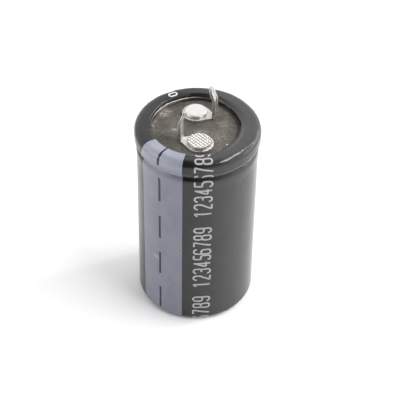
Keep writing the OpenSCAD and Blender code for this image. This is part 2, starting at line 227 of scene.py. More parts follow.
class Bench:
    """Models pieces in millimetres with Blender's own tools, one at a time."""

    @staticmethod
    def clear() -> None:
        """Leaves edit mode and deselects everything."""
        if bpy.context.object is not None and bpy.context.object.mode != "OBJECT":
            bpy.ops.object.mode_set(mode="OBJECT")
        bpy.ops.object.select_all(action="DESELECT")

    @staticmethod
    def pick(piece: Piece) -> None:
        """Makes a piece the only one selected, and the active one.

        Args:
            piece: The piece.
        """
        Bench.clear()
        piece.select_set(True)
        bpy.context.view_layer.objects.active = piece

    @staticmethod
    def edit(piece: Piece, select: str = "DESELECT") -> None:
        """Opens a piece for editing.

        Args:
            piece: The piece.
            select: SELECT to start with all of it selected, DESELECT with nothing.
        """
        Bench.pick(piece)
        bpy.ops.object.mode_set(mode="EDIT")
        bpy.ops.mesh.select_all(action=select)

    @staticmethod
    def named(name: str) -> Piece:
        """Names the active object and its mesh.

        Args:
            name: Their name.

        Returns:
            The object.
        """
        piece = bpy.context.object
        piece.name = name
        piece.data.name = name
        return piece

    @staticmethod
    def added(name: str, data: bpy.types.ID) -> Piece:
        """Adds an object to the scene.

        Args:
            name: Its name.
            data: Its curve, lamp or camera.

        Returns:
            The object.
        """
        thing = bpy.data.objects.new(name, data)
        bpy.context.scene.collection.objects.link(thing)
        return thing

    @staticmethod
    def close_up(distance: float = 1e-3) -> None:
        """Merges what lies together, points the faces outwards and leaves edit mode.

        Args:
            distance: Points nearer than this become one.
        """
        bpy.ops.mesh.select_all(action="SELECT")
        bpy.ops.mesh.remove_doubles(threshold=distance)
        bpy.ops.mesh.normals_make_consistent(inside=False)
        bpy.ops.object.mode_set(mode="OBJECT")

    @staticmethod
    def turned(name: str, line: Sequence[Vector], count: int, closed: bool = True) -> Piece:
        """Turns a piece on the axis by drawing a ring out along a line, station by station.

        Args:
            name: Name of the piece.
            line: The section as radius and height.
            count: Faces round the piece.
            closed: Whether the section comes back to its start. If it doesn't, its ends lie
                near the axis, and their small rings are drawn together there.

        Returns:
            The piece in object mode.
        """
        Bench.clear()
        bpy.ops.mesh.primitive_circle_add(vertices=count, radius=line[0].x, location=(0, 0, 0))
        piece = Bench.named(name)
        bpy.ops.object.mode_set(mode="EDIT")
        bpy.ops.mesh.select_all(action="SELECT")
        bpy.ops.transform.translate(value=(0, 0, line[0].y))
        stations = list(line) + ([line[0]] if closed else [])
        for before, after in zip(stations, stations[1:]):
            rise = {"value": (0, 0, after.y - before.y)}
            bpy.ops.mesh.extrude_region_move(TRANSFORM_OT_translate=rise)
            factor = after.x / before.x
            bpy.ops.transform.resize(value=(factor, factor, 1), center_override=(0, 0, after.y))
        Bench.close_up()
        if not closed:
            Bench.edit(piece)
            bpy.ops.mesh.select_non_manifold()
            bpy.ops.mesh.edge_collapse()
            Bench.close_up()
        return piece

    @staticmethod
    def drawn_out(name: str, sections: Sequence[Sequence[Vector]]) -> Piece:
        """Draws a filled section out through its stations, as a strip or rod is formed.

        Args:
            name: Name of the piece.
            sections: The stations, each with the same number of corners.

        Returns:
            The closed piece in object mode.
        """
        count = len(sections[0])
        Bench.clear()
        bpy.ops.mesh.primitive_circle_add(vertices=count, fill_type="NGON", location=(0, 0, 0))
        piece = Bench.named(name)
        for vertex, place in zip(piece.data.vertices, sections[0]):
            vertex.co = place
        bpy.ops.object.mode_set(mode="EDIT")
        bpy.ops.mesh.select_all(action="SELECT")
        for before, after in zip(sections, sections[1:]):
            bpy.ops.mesh.extrude_region_move(TRANSFORM_OT_translate={"value": (0, 0, 0)})
            mesh = bmesh.from_edit_mesh(piece.data)
            for vertex in [v for v in mesh.verts if v.select]:
                nearest = min(range(count), key=lambda k: (before[k] - vertex.co).length_squared)
                vertex.co = after[nearest]
            bmesh.update_edit_mesh(piece.data)
        Bench.close_up()
        return piece

    @staticmethod
    def modify(piece: Piece, kind: str, **settings: object) -> None:
        """Adds a modifier and applies it.

        Args:
            piece: The piece.
            kind: The modifier's type.
            **settings: Its settings.
        """
        Bench.pick(piece)
        bpy.ops.object.modifier_add(type=kind)
        modifier = piece.modifiers[-1]
        for key, value in settings.items():
            setattr(modifier, key, value)
        bpy.ops.object.modifier_apply(modifier=modifier.name)

    @staticmethod
    def cut(piece: Piece, tool: Piece, operation: str = "DIFFERENCE") -> None:
        """Cuts a piece with a tool, or joins the tool to it, and throws the tool away."""
        Bench.modify(piece, "BOOLEAN", object=tool, operation=operation, solver="EXACT")
        bpy.data.objects.remove(tool)

    @staticmethod
    def bore(piece: Piece, radius: float, spot: Spot) -> None:
        """Bores an upright hole through a piece of sheet.

        Args:
            piece: The piece.
            radius: Radius of the hole.
            spot: A place in the hole, halfway along the drill.
        """
        Bench.clear()
        bpy.ops.mesh.primitive_cylinder_add(vertices=48, radius=radius, depth=4, location=spot)
        Bench.cut(piece, Bench.named("drill"))

    @staticmethod
    def bend_over(piece: Piece, place: Callable[[Vector], Vector]) -> None:
        """Moves every point of a piece.

        Args:
            piece: The piece.
            place: The rule that gives each point its new place.
        """
        for vertex in piece.data.vertices:
            vertex.co = place(vertex.co)
        piece.data.update()

    @staticmethod
    def to_metres(piece: Piece) -> None:
        """Brings a piece from millimetres to metres.

        Args:
            piece: The piece.
        """
        Bench.pick(piece)
        piece.scale = (MM, MM, MM)
        bpy.ops.object.transform_apply(location=True, rotation=True, scale=True)

    @staticmethod
    def finished(
        piece: Piece, material: Finish, slot: str, replaces: Sequence[str] = (), crease: float = 60
    ) -> Piece:
        """Brings a piece to metres, smooths it, dresses it and fixes it to the part.

        Args:
            piece: The piece, in millimetres.
            material: Its finish.
            slot: The record's material slot that it belongs to. It is not used.
            replaces: CAD nodes that it stands for.
            crease: Edges that turn by more than this stay sharp.

        Returns:
            The piece.
        """
        Bench.to_metres(piece)
        bpy.ops.object.shade_smooth_by_angle(angle=math.radians(crease))
        piece.data.materials.clear()
        piece.data.materials.append(material)
        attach(piece, BODY)
        if replaces:
            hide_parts(*replaces)
        log.info("%s: %d faces", piece.name, len(piece.data.polygons))
        return piece


# --- Shader arithmetic ---


class Wire:
    """One socket of a recipe, with arithmetic that adds its Math nodes."""

    def __init__(self, recipe: Recipe, socket: bpy.types.NodeSocket) -> None:
        """Wraps a socket of a recipe."""
        self.recipe = recipe
        self.socket = socket

    def _math(self, operation: str, *values: Wire | float) -> Wire:
        """Adds one Math node on these values."""
        sockets = dict(enumerate(values))
        return self.recipe.node("ShaderNodeMath", {"operation": operation}, sockets)

    def __add__(self, other: Wire | float) -> Wire:
        """Adds."""
        return self._math("ADD", self, other)

    __radd__ = __add__

    def __sub__(self, other: Wire | float) -> Wire:
        """Subtracts."""
        return self._math("SUBTRACT", self, other)

    def __rsub__(self, other: float) -> Wire:
        """Subtracts this from a number."""
        return self._math("SUBTRACT", other, self)

    def __mul__(self, other: Wire | float) -> Wire:
        """Multiplies."""
        return self._math("MULTIPLY", self, other)

    __rmul__ = __mul__

    def sine(self) -> Wire:
        """Takes the sine."""
        return self._math("SINE", self)

    def higher(self, other: Wire | float) -> Wire:
        """Keeps the higher of two values."""
        return self._math("MAXIMUM", self, other)

    def ramp(self, low: float, high: float, start: float = 0.0, end: float = 1.0) -> Wire:
        """Goes smoothly from one value to another.

        Args:
            low: Where the ramp starts; it runs backwards where this is the larger.
            high: Where the ramp ends.
            start: Its value at low and beyond.
            end: Its value at high and beyond.

        Returns:
            The value on the ramp.
        """
        limits = {"From Min": low, "From Max": high, "To Min": start, "To Max": end}
        return self.recipe.node(
            "ShaderNodeMapRange", {"interpolation_type": "SMOOTHSTEP"}, {"Value": self, **limits}
        )


class Recipe:
    """A material or a world that is written as expressions on wires."""

    def __init__(self, owner: Finish | bpy.types.World) -> None:
        """Opens the nodes of a new material or world.

        Args:
            owner: The material or world.
        """
        owner.use_nodes = True
        self.owner = owner
        self.tree = owner.node_tree
        shaders = ("BSDF_PRINCIPLED", "BACKGROUND")
        self.shader = next(n for n in self.tree.nodes if n.type in shaders)

    def put(self, socket: bpy.types.NodeSocket, value: Wire | float | Sequence[float]) -> None:
        """Links a wire to a socket, or sets the socket to a constant.

        Args:
            socket: The socket.
            value: The wire or constant. A colour of three parts gets its fourth.
        """
        if isinstance(value, Wire):
            self.tree.links.new(value.socket, socket)
        elif isinstance(value, tuple) and len(value) == 3 and len(socket.default_value) == 4:
            socket.default_value = (*value, 1.0)
        else:
            socket.default_value = value

    def node(
        self,
        kind: str,
        settings: dict[str, object],
        sockets: dict[str | int, object],
        out: str | int = 0,
    ) -> Wire:
        """Adds a node.

        Args:
            kind: The node's type.
            settings: Its own settings, which are set first.
            sockets: Values or wires for its inputs, by name or number.
            out: The output that is wanted, by name or number.

        Returns:
            That output.
        """
        node = self.tree.nodes.new(kind)
        for key, value in settings.items():
            setattr(node, key, value)
        for key, value in sockets.items():
            self.put(node.inputs[key], value)
        return Wire(self, node.outputs[out])

    def vector(self, operation: str, *values: Wire | Spot, out: str = "Vector") -> Wire:
        """Adds one Vector Math node on these values."""
        sockets = dict(enumerate(values))
        return self.node("ShaderNodeVectorMath", {"operation": operation}, sockets, out)

    def place(self) -> Wire:
        """Gives the place on the object in millimetres."""
        point = self.node("ShaderNodeTexCoord", {}, {}, "Object")
        return self.scaled(point, (1 / MM, 1 / MM, 1 / MM))

    def scaled(self, vector: Wire, scale: Spot, at: Spot = (0, 0, 0)) -> Wire:
        """Scales a vector about a point."""
        return self.vector("MULTIPLY", self.vector("SUBTRACT", vector, at), scale)

    def part(self, vector: Wire, axis: str) -> Wire:
        """Takes one part of a vector: X, Y or Z."""
        return self.node("ShaderNodeSeparateXYZ", {}, {0: vector}, axis)

    def noise(self, vector: Wire, size: float, detail: float = 3.0, rough: float = 0.5) -> Wire:
        """Adds cloudy noise round 0.5.

        Args:
            vector: The place.
            size: About how far across its patches are.
            detail: How many finer layers it has.
            rough: How strong the finer layers are.

        Returns:
            The noise.
        """
        sockets = {"Vector": vector, "Scale": 1 / size, "Detail": detail, "Roughness": rough}
        return self.node("ShaderNodeTexNoise", {"noise_dimensions": "3D"}, sockets, "Fac")

    def cells(self, vector: Wire, size: float, out: str = "Distance") -> Wire:
        """Adds cells of about a size, giving the distance to the nearest centre or its colour."""
        return self.node("ShaderNodeTexVoronoi", {}, {"Vector": vector, "Scale": 1 / size}, out)

    def specks(self, vector: Wire, size: float, radius: float, share: float) -> Wire:
        """Scatters round specks.

        Args:
            vector: The place.
            size: Distance between neighbours.
            radius: Radius of the largest speck.
            share: Share of the places that holds one.

        Returns:
            1 on a speck, 0 beside it.
        """
        chance = self.part(self.cells(vector, size, "Color"), "X")
        reach = (chance - (1 - share)) * (radius / size / share)
        return (reach - self.cells(vector, size)).ramp(0.0, 0.04)

    def near(self, vector: Wire, at: Spot, reach: Spot) -> Wire:
        """Gives the distance from a point, counted in the reach along each axis."""
        inverse = tuple(1 / length for length in reach)
        return self.vector("LENGTH", self.scaled(vector, inverse, at), out="Value")

    def from_axis(self, vector: Wire) -> Wire:
        """Gives the distance from the axis of the can."""
        return self.near(vector, (0, 0, 0), (1, 1, 1e6))

    def patch(self, vector: Wire, at: Spot, reach: Spot, full: float) -> Wire:
        """Masks a patch: 1 within a share of its reach, fading to 0 at its edge."""
        return self.near(vector, at, reach).ramp(1.0, full)

    def mix(self, factor: Wire | float, a: Wire | Colour, b: Wire | Colour) -> Wire:
        """Mixes two colours, or a wire and a colour."""
        return self.node("ShaderNodeMix", {"data_type": "RGBA"}, {0: factor, 6: a, 7: b}, 2)

    def bump(self, height: Wire, depth: float, base: Wire | None = None) -> Wire:
        """Turns a height into a normal.

        Args:
            height: The height, from 0 to 1.
            depth: Depth of the relief.
            base: The normal that it lies on, if it isn't the surface's own.

        Returns:
            The normal.
        """
        under = {} if base is None else {"Normal": base}
        return self.node("ShaderNodeBump", {}, {"Height": height, "Distance": depth * MM, **under})

    def done(self, **sockets: Wire | float | Colour) -> Finish | bpy.types.World:
        """Sets the shader's sockets.

        Args:
            **sockets: Their values, by name, with underscores for spaces.

        Returns:
            The material or world.
        """
        for key, value in sockets.items():
            self.put(self.shader.inputs[key.replace("_", " ")], value)
        return self.owner


# --- Finishes ---


def film_grain(r: Recipe, p: Wire, base: Wire | None = None) -> Wire:
    """Gives the film's fine grain, which its print shows too, as a normal."""
    return r.bump(r.noise(p, 0.22, 2), 0.004, base)


@dataclass(frozen=True)
class ShrunkFilm:
    """Glossy dark film that was shrunk on by heat, with painted light greying its right side."""

    base: Colour = (0.004, 0.004, 0.0048)
    # Painted light: the greyer colour of the film's right side.
    painted_light_right: Colour = (0.036, 0.0355, 0.036)
    dust: Colour = (0.19, 0.18, 0.165)
    # Colour of the pale cut edge and of the painted highlight on it at the back left.
    cut: Colour = (0.76, 0.74, 0.7)
    gloss: float = 0.14
    edge_radius: float = 9.66
    edge_height: float = 44.42
    # Where the painted highlight on the cut edge lies, at the back left.
    painted_edge_highlight: Patch = ((-5.5, 7.6, 44.2), (7.5, 5.5, 9.0))
    dulled: Patch = ((-4.6, 8.6, 44.7), (4.6, 2.6, 2.0))
    dulled_within: float = 10.9

    def make(self) -> Finish:
        """Writes the material."""
        r = Recipe(bpy.data.materials.new("shrunk_film"))
        p = r.place()
        flow = r.noise(r.scaled(p, (1, 1, 0.35)), 3.2, 4)
        haze = r.noise(p, 6.0, 5, 0.6)
        specks = r.specks(p, 1.7, 0.075, 0.3)
        scuff = (r.noise(r.scaled(p, (1, 1, 7)), 2.4, 6, 0.7) - 0.66).ramp(0.0, 0.16)
        # Painted light: the film's colour runs lighter and greyer towards the right.
        side = (r.part(p, "X") + haze * 6).ramp(-2.0, 11.0)
        colour = r.mix(side, self.base, self.painted_light_right)
        colour = r.mix(scuff * 0.12, r.mix(specks * 0.75, colour, self.dust), self.dust)
        # Pale cut edge, with a painted highlight at the back left.
        colour = r.mix(self._cut_edge_and_highlight(r, p), colour, self.cut)
        inside = r.from_axis(p).ramp(self.dulled_within, self.dulled_within - 0.4)
        dull = r.patch(p, *self.dulled, 0.5) * inside
        return r.done(
            Base_Color=colour,
            Roughness=self.gloss + haze * 0.12 + specks * 0.4 + scuff * 0.2 + dull * 0.4,
            IOR=1.47,
            Normal=film_grain(r, p, r.bump(flow, 0.05)),
        )

    def _cut_edge_and_highlight(self, r: Recipe, p: Wire) -> Wire:
        """Masks the film's pale cut edge inside the rim, with a painted highlight on it at the
        back left.

        Args:
            r: The recipe.
            p: The place.

        Returns:
            1 where a highlight is painted on the edge at the back left, a little for the pale cut
            edge elsewhere on it, 0 off it.
        """
        inside = r.from_axis(p).ramp(self.edge_radius, self.edge_radius - 0.06)
        edge = inside * r.part(p, "Z").ramp(self.edge_height, self.edge_height - 0.06)
        return edge * (r.patch(p, *self.painted_edge_highlight, 0.3) * 0.8 + 0.12)


# Nicks in the stripe: direction, height, reach across and reach along
MARKS_ON_STRIPE: tuple[tuple[float, float, float, float], ...] = (
    (-122.2, 33.6, 0.16, 0.3),
    (-139.5, 37.1, 0.5, 0.14),
    (-115.8, 11.9, 0.16, 0.16),
    (-105.2, 20.8, 0.16, 0.3),
    (-137.2, 8.6, 0.4, 0.16),
    (-104.6, 19.4, 0.1, 0.1),
)


@dataclass(frozen=True)
class StripeInk:
    """Pale ink of the polarity stripe, under the film's gloss."""

    base: Colour = (0.155, 0.163, 0.212)
    # Painted light: lighter ink where the stripe runs over the rim's top.
    painted_light_on_rim: Colour = (0.305, 0.316, 0.382)
    worn: Colour = (0.232, 0.24, 0.285)
    pit: Colour = (0.05, 0.05, 0.065)
    scraped: Colour = (0.62, 0.62, 0.64)
    radius: float = 12.57
    rim: Point = (41.2, 43.4)
    scrape: Point = (-132.0, 16.2)

    def make(self) -> Finish:
        """Writes the material."""
        r = Recipe(bpy.data.materials.new("stripe_ink"))
        p = r.place()
        cloud = r.noise(r.scaled(p, (1, 1, 0.5)), 3.5, 5, 0.6)
        print_grain = r.noise(p, 0.3, 2)
        pits = r.specks(p, 1.25, 0.085, 0.22)
        # Painted light: the stripe is lighter over the rim, whose top faces up into more light.
        colour = r.mix(r.part(p, "Z").ramp(*self.rim), self.base, self.painted_light_on_rim)
        colour = r.mix((cloud - 0.3) * 1.6, colour, self.worn)
        colour = r.mix((print_grain - 0.5) * 0.4 + 0.06, colour, self.pit)
        colour = r.mix(pits * 0.85, colour, self.pit)
        for azimuth, height, across, along in MARKS_ON_STRIPE:
            at = tuple(round_point(self.radius, azimuth, height))
            mark = r.patch(p, at, (across, across, along), 0.55)
            colour = r.mix(mark * 0.8, colour, self.pit)
        at = tuple(round_point(self.radius, *self.scrape))
        smear = r.patch(p, at, (1.5, 1.5, 0.6), 0.2)
        colour = r.mix(smear * (r.noise(p, 0.5, 3) - 0.35) * 2.2, colour, self.scraped)
        return r.done(
            Base_Color=colour,
            Roughness=0.26 + cloud * 0.14,
            IOR=1.52,
            Normal=film_grain(r, p, r.bump(r.noise(p, 3.2, 4), 0.05)),
        )


@dataclass(frozen=True)
class NumeralInk:
    """Light grey ink of the numerals, thinner in places."""

    name: str
    base: Colour
    thinned: float = 0.63

    def make(self) -> Finish:
        """Writes the material."""
        r = Recipe(bpy.data.materials.new(self.name))
        p = r.place()
        thin = (r.noise(p, 0.35, 4, 0.65) - 0.42).ramp(0.0, 0.3)
        pale = tuple(self.thinned * part for part in self.base)
        return r.done(
            Base_Color=r.mix(thin * 0.35, self.base, pale),
            Roughness=0.3 + r.noise(p, 2.0) * 0.1,
            IOR=1.52,
            Normal=film_grain(r, p),
        )


@dataclass(frozen=True)
class PlatedMetal:
    """Bright metal with fine marks from handling: tin plate or soft aluminium.

    It may be painted darker, as shade, in a face just below a height, and have upright streaks of
    tarnish with a painted shadow on the ring below the near head; nought stands for neither.
    """

    name: str
    base: Colour
    dull: Colour
    gloss: float
    metallic: float = 1.0
    # Height below which a painted shade darkens the knurl's grooves; nought for none.
    groove_shade_below: float = 0.0
    tarnish: float = 0.0
    # Painted shadow on the ring below the near rivet's head.
    ring_shadow: Patch = ((0.9, -7.6, 43.6), (2.6, 1.5, 0.6))
    relief: float = 0.004

    def make(self) -> Finish:
        """Writes the material."""
        r = Recipe(bpy.data.materials.new(self.name))
        p = r.place()
        cloud = r.noise(p, 1.1, 5, 0.65)
        rub = r.noise(r.scaled(p, (1, 1, 6)), 0.5, 4, 0.6)
        grain = r.noise(p, 0.12, 3, 0.6)
        stain = (r.noise(p, 0.55, 4, 0.7) - 0.6).ramp(0.0, 0.12)
        colour = r.mix((cloud - 0.35) * 1.1, self.base, self.dull)
        colour = r.mix(stain * 0.4, colour, self.dull)
        groove_shade: Wire | float = 0.0
        if self.groove_shade_below:
            # Painted shade: the knurl's grooves, just below the head's face, are darkened and
            # dulled.
            height = r.part(p, "Z")
            face = height.ramp(self.groove_shade_below - 0.2, self.groove_shade_below - 0.14)
            groove_shade = height.ramp(self.groove_shade_below, self.groove_shade_below - 0.05) * face
            colour = r.mix(groove_shade * 0.9, colour, (0.2, 0.195, 0.175))
        if self.tarnish:
            streak = (r.noise(r.scaled(p, (1, 1, 0.2)), 0.42, 4, 0.7) - 0.44).ramp(0.0, 0.18)
            # Painted shadow below the near head, mixed into the tarnish colour.
            ring_shadow = r.patch(p, *self.ring_shadow, 0.3) * (streak * 0.5 + 0.5)
            colour = r.mix((streak * self.tarnish).higher(ring_shadow), colour, (0.16, 0.148, 0.132))
        return r.done(
            Base_Color=colour,
            Metallic=self.metallic - groove_shade * 0.9,
            Roughness=self.gloss + cloud * 0.16 + stain * 0.2 + groove_shade * 0.4,
            Normal=r.bump(grain, self.relief, r.bump(rub, self.relief * 2)),
        )


# Where the rubber is dusty (amount above nought) or darker (below it): place, reach each way,
# and how much
TONES_ON_RUBBER: tuple[tuple[Point, Point, float], ...] = (
    ((-6.5, -3.4), (4.2, 3.2), -0.8),
    ((-1.5, 8.6), (6.5, 1.9), -0.75),
    # The next two rows are painted shadow under the film's overhang on the right.
    ((8.2, 4.0), (2.6, 5.0), -0.7),
    ((8.9, 2.4), (1.5, 5.5), -1.0),
    ((-1.0, 1.6), (3.6, 1.6), -0.5),
    ((-7.4, 5.3), (2.9, 2.3), 0.9),
    ((-8.9, 1.2), (1.2, 3.0), 0.5),
    ((-4.3, 0.2), (1.9, 1.2), 0.8),
    ((5.2, 1.9), (2.4, 1.8), 0.35),
    ((4.6, -2.4), (3.2, 2.4), 0.3),
    ((0.4, -0.9), (3.0, 1.0), 0.25),
)


@dataclass(frozen=True)
class DustyRubber:
    """Grey-olive rubber facing with dust in its grain, one bright scrap on it and painted shadow
    at its right edge.
    """

    base: Colour = (0.088, 0.081, 0.067)
    pale: Colour = (0.15, 0.141, 0.12)
    deep: Colour = (0.042, 0.04, 0.034)
    dust: Colour = (0.45, 0.41, 0.36)
    bright: Colour = (0.75, 0.74, 0.72)
    top: float = 43.4
    through: float = 9.0
    scrap: Patch = ((5.94, -4.73, 43.4), (0.16, 0.2, 9.0))

    def make(self) -> Finish:
        """Writes the material."""
        r = Recipe(bpy.data.materials.new("dusty_rubber"))
        p = r.place()
        broad = r.noise(p, 3.6, 5, 0.65)
        fine = r.noise(p, 0.55, 5, 0.75)
        grain = r.noise(p, 0.16, 3, 0.65)
        colour = r.mix((broad - 0.36).ramp(0.0, 0.34), self.base, self.pale)
        colour = r.mix((fine - 0.46).ramp(0.0, 0.2) * 0.65, colour, self.deep)
        colour = r.mix((grain - 0.5).ramp(0.0, 0.2) * 0.35, colour, self.pale)
        cloud = (r.noise(r.scaled(p, (1, 1.5, 1)), 0.9, 6, 0.8) - 0.42).ramp(0.0, 0.15)
        # Dusty patches, darker patches and the painted shadow under the overhang on the right.
        for at, reach, amount in TONES_ON_RUBBER:
            patch = r.patch(p, (*at, self.top), (*reach, self.through), 0.1)
            tone = self.dust if amount > 0 else self.deep
            colour = r.mix(patch * cloud * abs(amount), colour, tone)
        scraps = r.specks(p, 0.9, 0.13, 0.2).higher(r.specks(p, 0.43, 0.07, 0.14))
        colour = r.mix(scraps * 0.55, colour, self.dust)
        colour = r.mix(r.patch(p, *self.scrap, 0.6), colour, self.bright)
        return r.done(
            Base_Color=colour,
            Roughness=0.55 + fine * 0.35,
            IOR=1.32,
            Normal=r.bump(grain, 0.03, r.bump(fine, 0.07)),
        )


@dataclass(frozen=True)
class DrawnAluminium:
    """Bare aluminium of the deep-drawn can, with rings from its tools and painted shade on its
    lip.
    """

    base: Colour = (0.8, 0.81, 0.82)
    other: Colour = (0.66, 0.67, 0.69)
    # Painted shade on the curled lip inside the rim.
    painted_lip_shade: Colour = (0.12, 0.115, 0.105)
    lip_radius: Point = (10.6, 10.3)
    lip_height: Point = (42.6, 42.9)
    # Patch at the back left where the painted lip shade is left off, so the lip stays bright.
    unshaded_lip_patch: Patch = ((-6.2, 7.2, 44.0), (6.0, 5.0, 9.0))

    def make(self) -> Finish:
        """Writes the material."""
        r = Recipe(bpy.data.materials.new("drawn_aluminium"))
        p = r.place()
        radius = r.from_axis(p)
        rings = (radius * 14.0 + r.noise(p, 2.0, 2) * 5).sine() * 0.5 + 0.5
        cloud = r.noise(p, 2.5, 5, 0.6)
        colour = r.mix((cloud - 0.3) * 0.9, self.base, self.other)
        # Painted shade: the curled lip inside the rim is darkened, except in the patch at the back
        # left.
        lip = r.part(p, "Z").ramp(*self.lip_height) * radius.ramp(*self.lip_radius)
        unshaded_lip_patch = r.patch(p, *self.unshaded_lip_patch, 0.3)
        return r.done(
            Base_Color=r.mix(lip * (1.0 - unshaded_lip_patch) * 0.85, colour, self.painted_lip_shade),
            Metallic=1.0,
            Roughness=0.24 + cloud * 0.18 + lip * 0.2,
            Normal=r.bump(rings, 0.004, r.bump(r.noise(p, 0.2, 3), 0.006)),
        )


@dataclass(frozen=True)
class PlainStock:
    """Stock that stays inside the can: board, foil, paper or tape."""

    name: str
    base: Colour
    other: Colour
    roughness: float
    patch: float
    stretch: Spot = (1, 1, 1)
    metallic: float = 0.0

    def make(self) -> Finish:
        """Writes the material."""
        r = Recipe(bpy.data.materials.new(self.name))
        p = r.scaled(r.place(), self.stretch)
        fibre = r.noise(p, self.patch / 6, 3, 0.6)
        return r.done(
            Base_Color=r.mix(r.noise(p, self.patch, 4, 0.6), self.base, self.other),
            Metallic=self.metallic,
            Roughness=self.roughness + fibre * 0.15,
            Normal=r.bump(fibre, 0.02),
        )


@dataclass(frozen=True)
class StudioFloor:
    """Pale matt paper under the part."""

    base: Colour = (0.96, 0.96, 0.96)
    other: Colour = (0.94, 0.94, 0.94)
    patch: float = 60.0

    def make(self) -> Finish:
        """Writes the material."""
        r = Recipe(bpy.data.materials.new("studio_floor"))
        colour = r.mix(r.noise(r.place(), self.patch, 3) * 0.3, self.base, self.other)
        return r.done(Base_Color=colour, Roughness=0.9, IOR=1.3)


# --- Sleeve and print ---

# Unevenness of the shrunk film: depth, waves round the can, waves along it, their phase, and
# the middle and reach of the band of heights that it is in
RUFFLES: tuple[tuple[float, ...], ...] = (
    (0.03, 3.1, 0.16, 4.0, 0.0, math.inf),
    (0.05, 9.0, 0.9, 9.0, 40.6, 1.6),
    (0.035, 14.0, 1.6, 2.0, 44.3, 0.8),
)


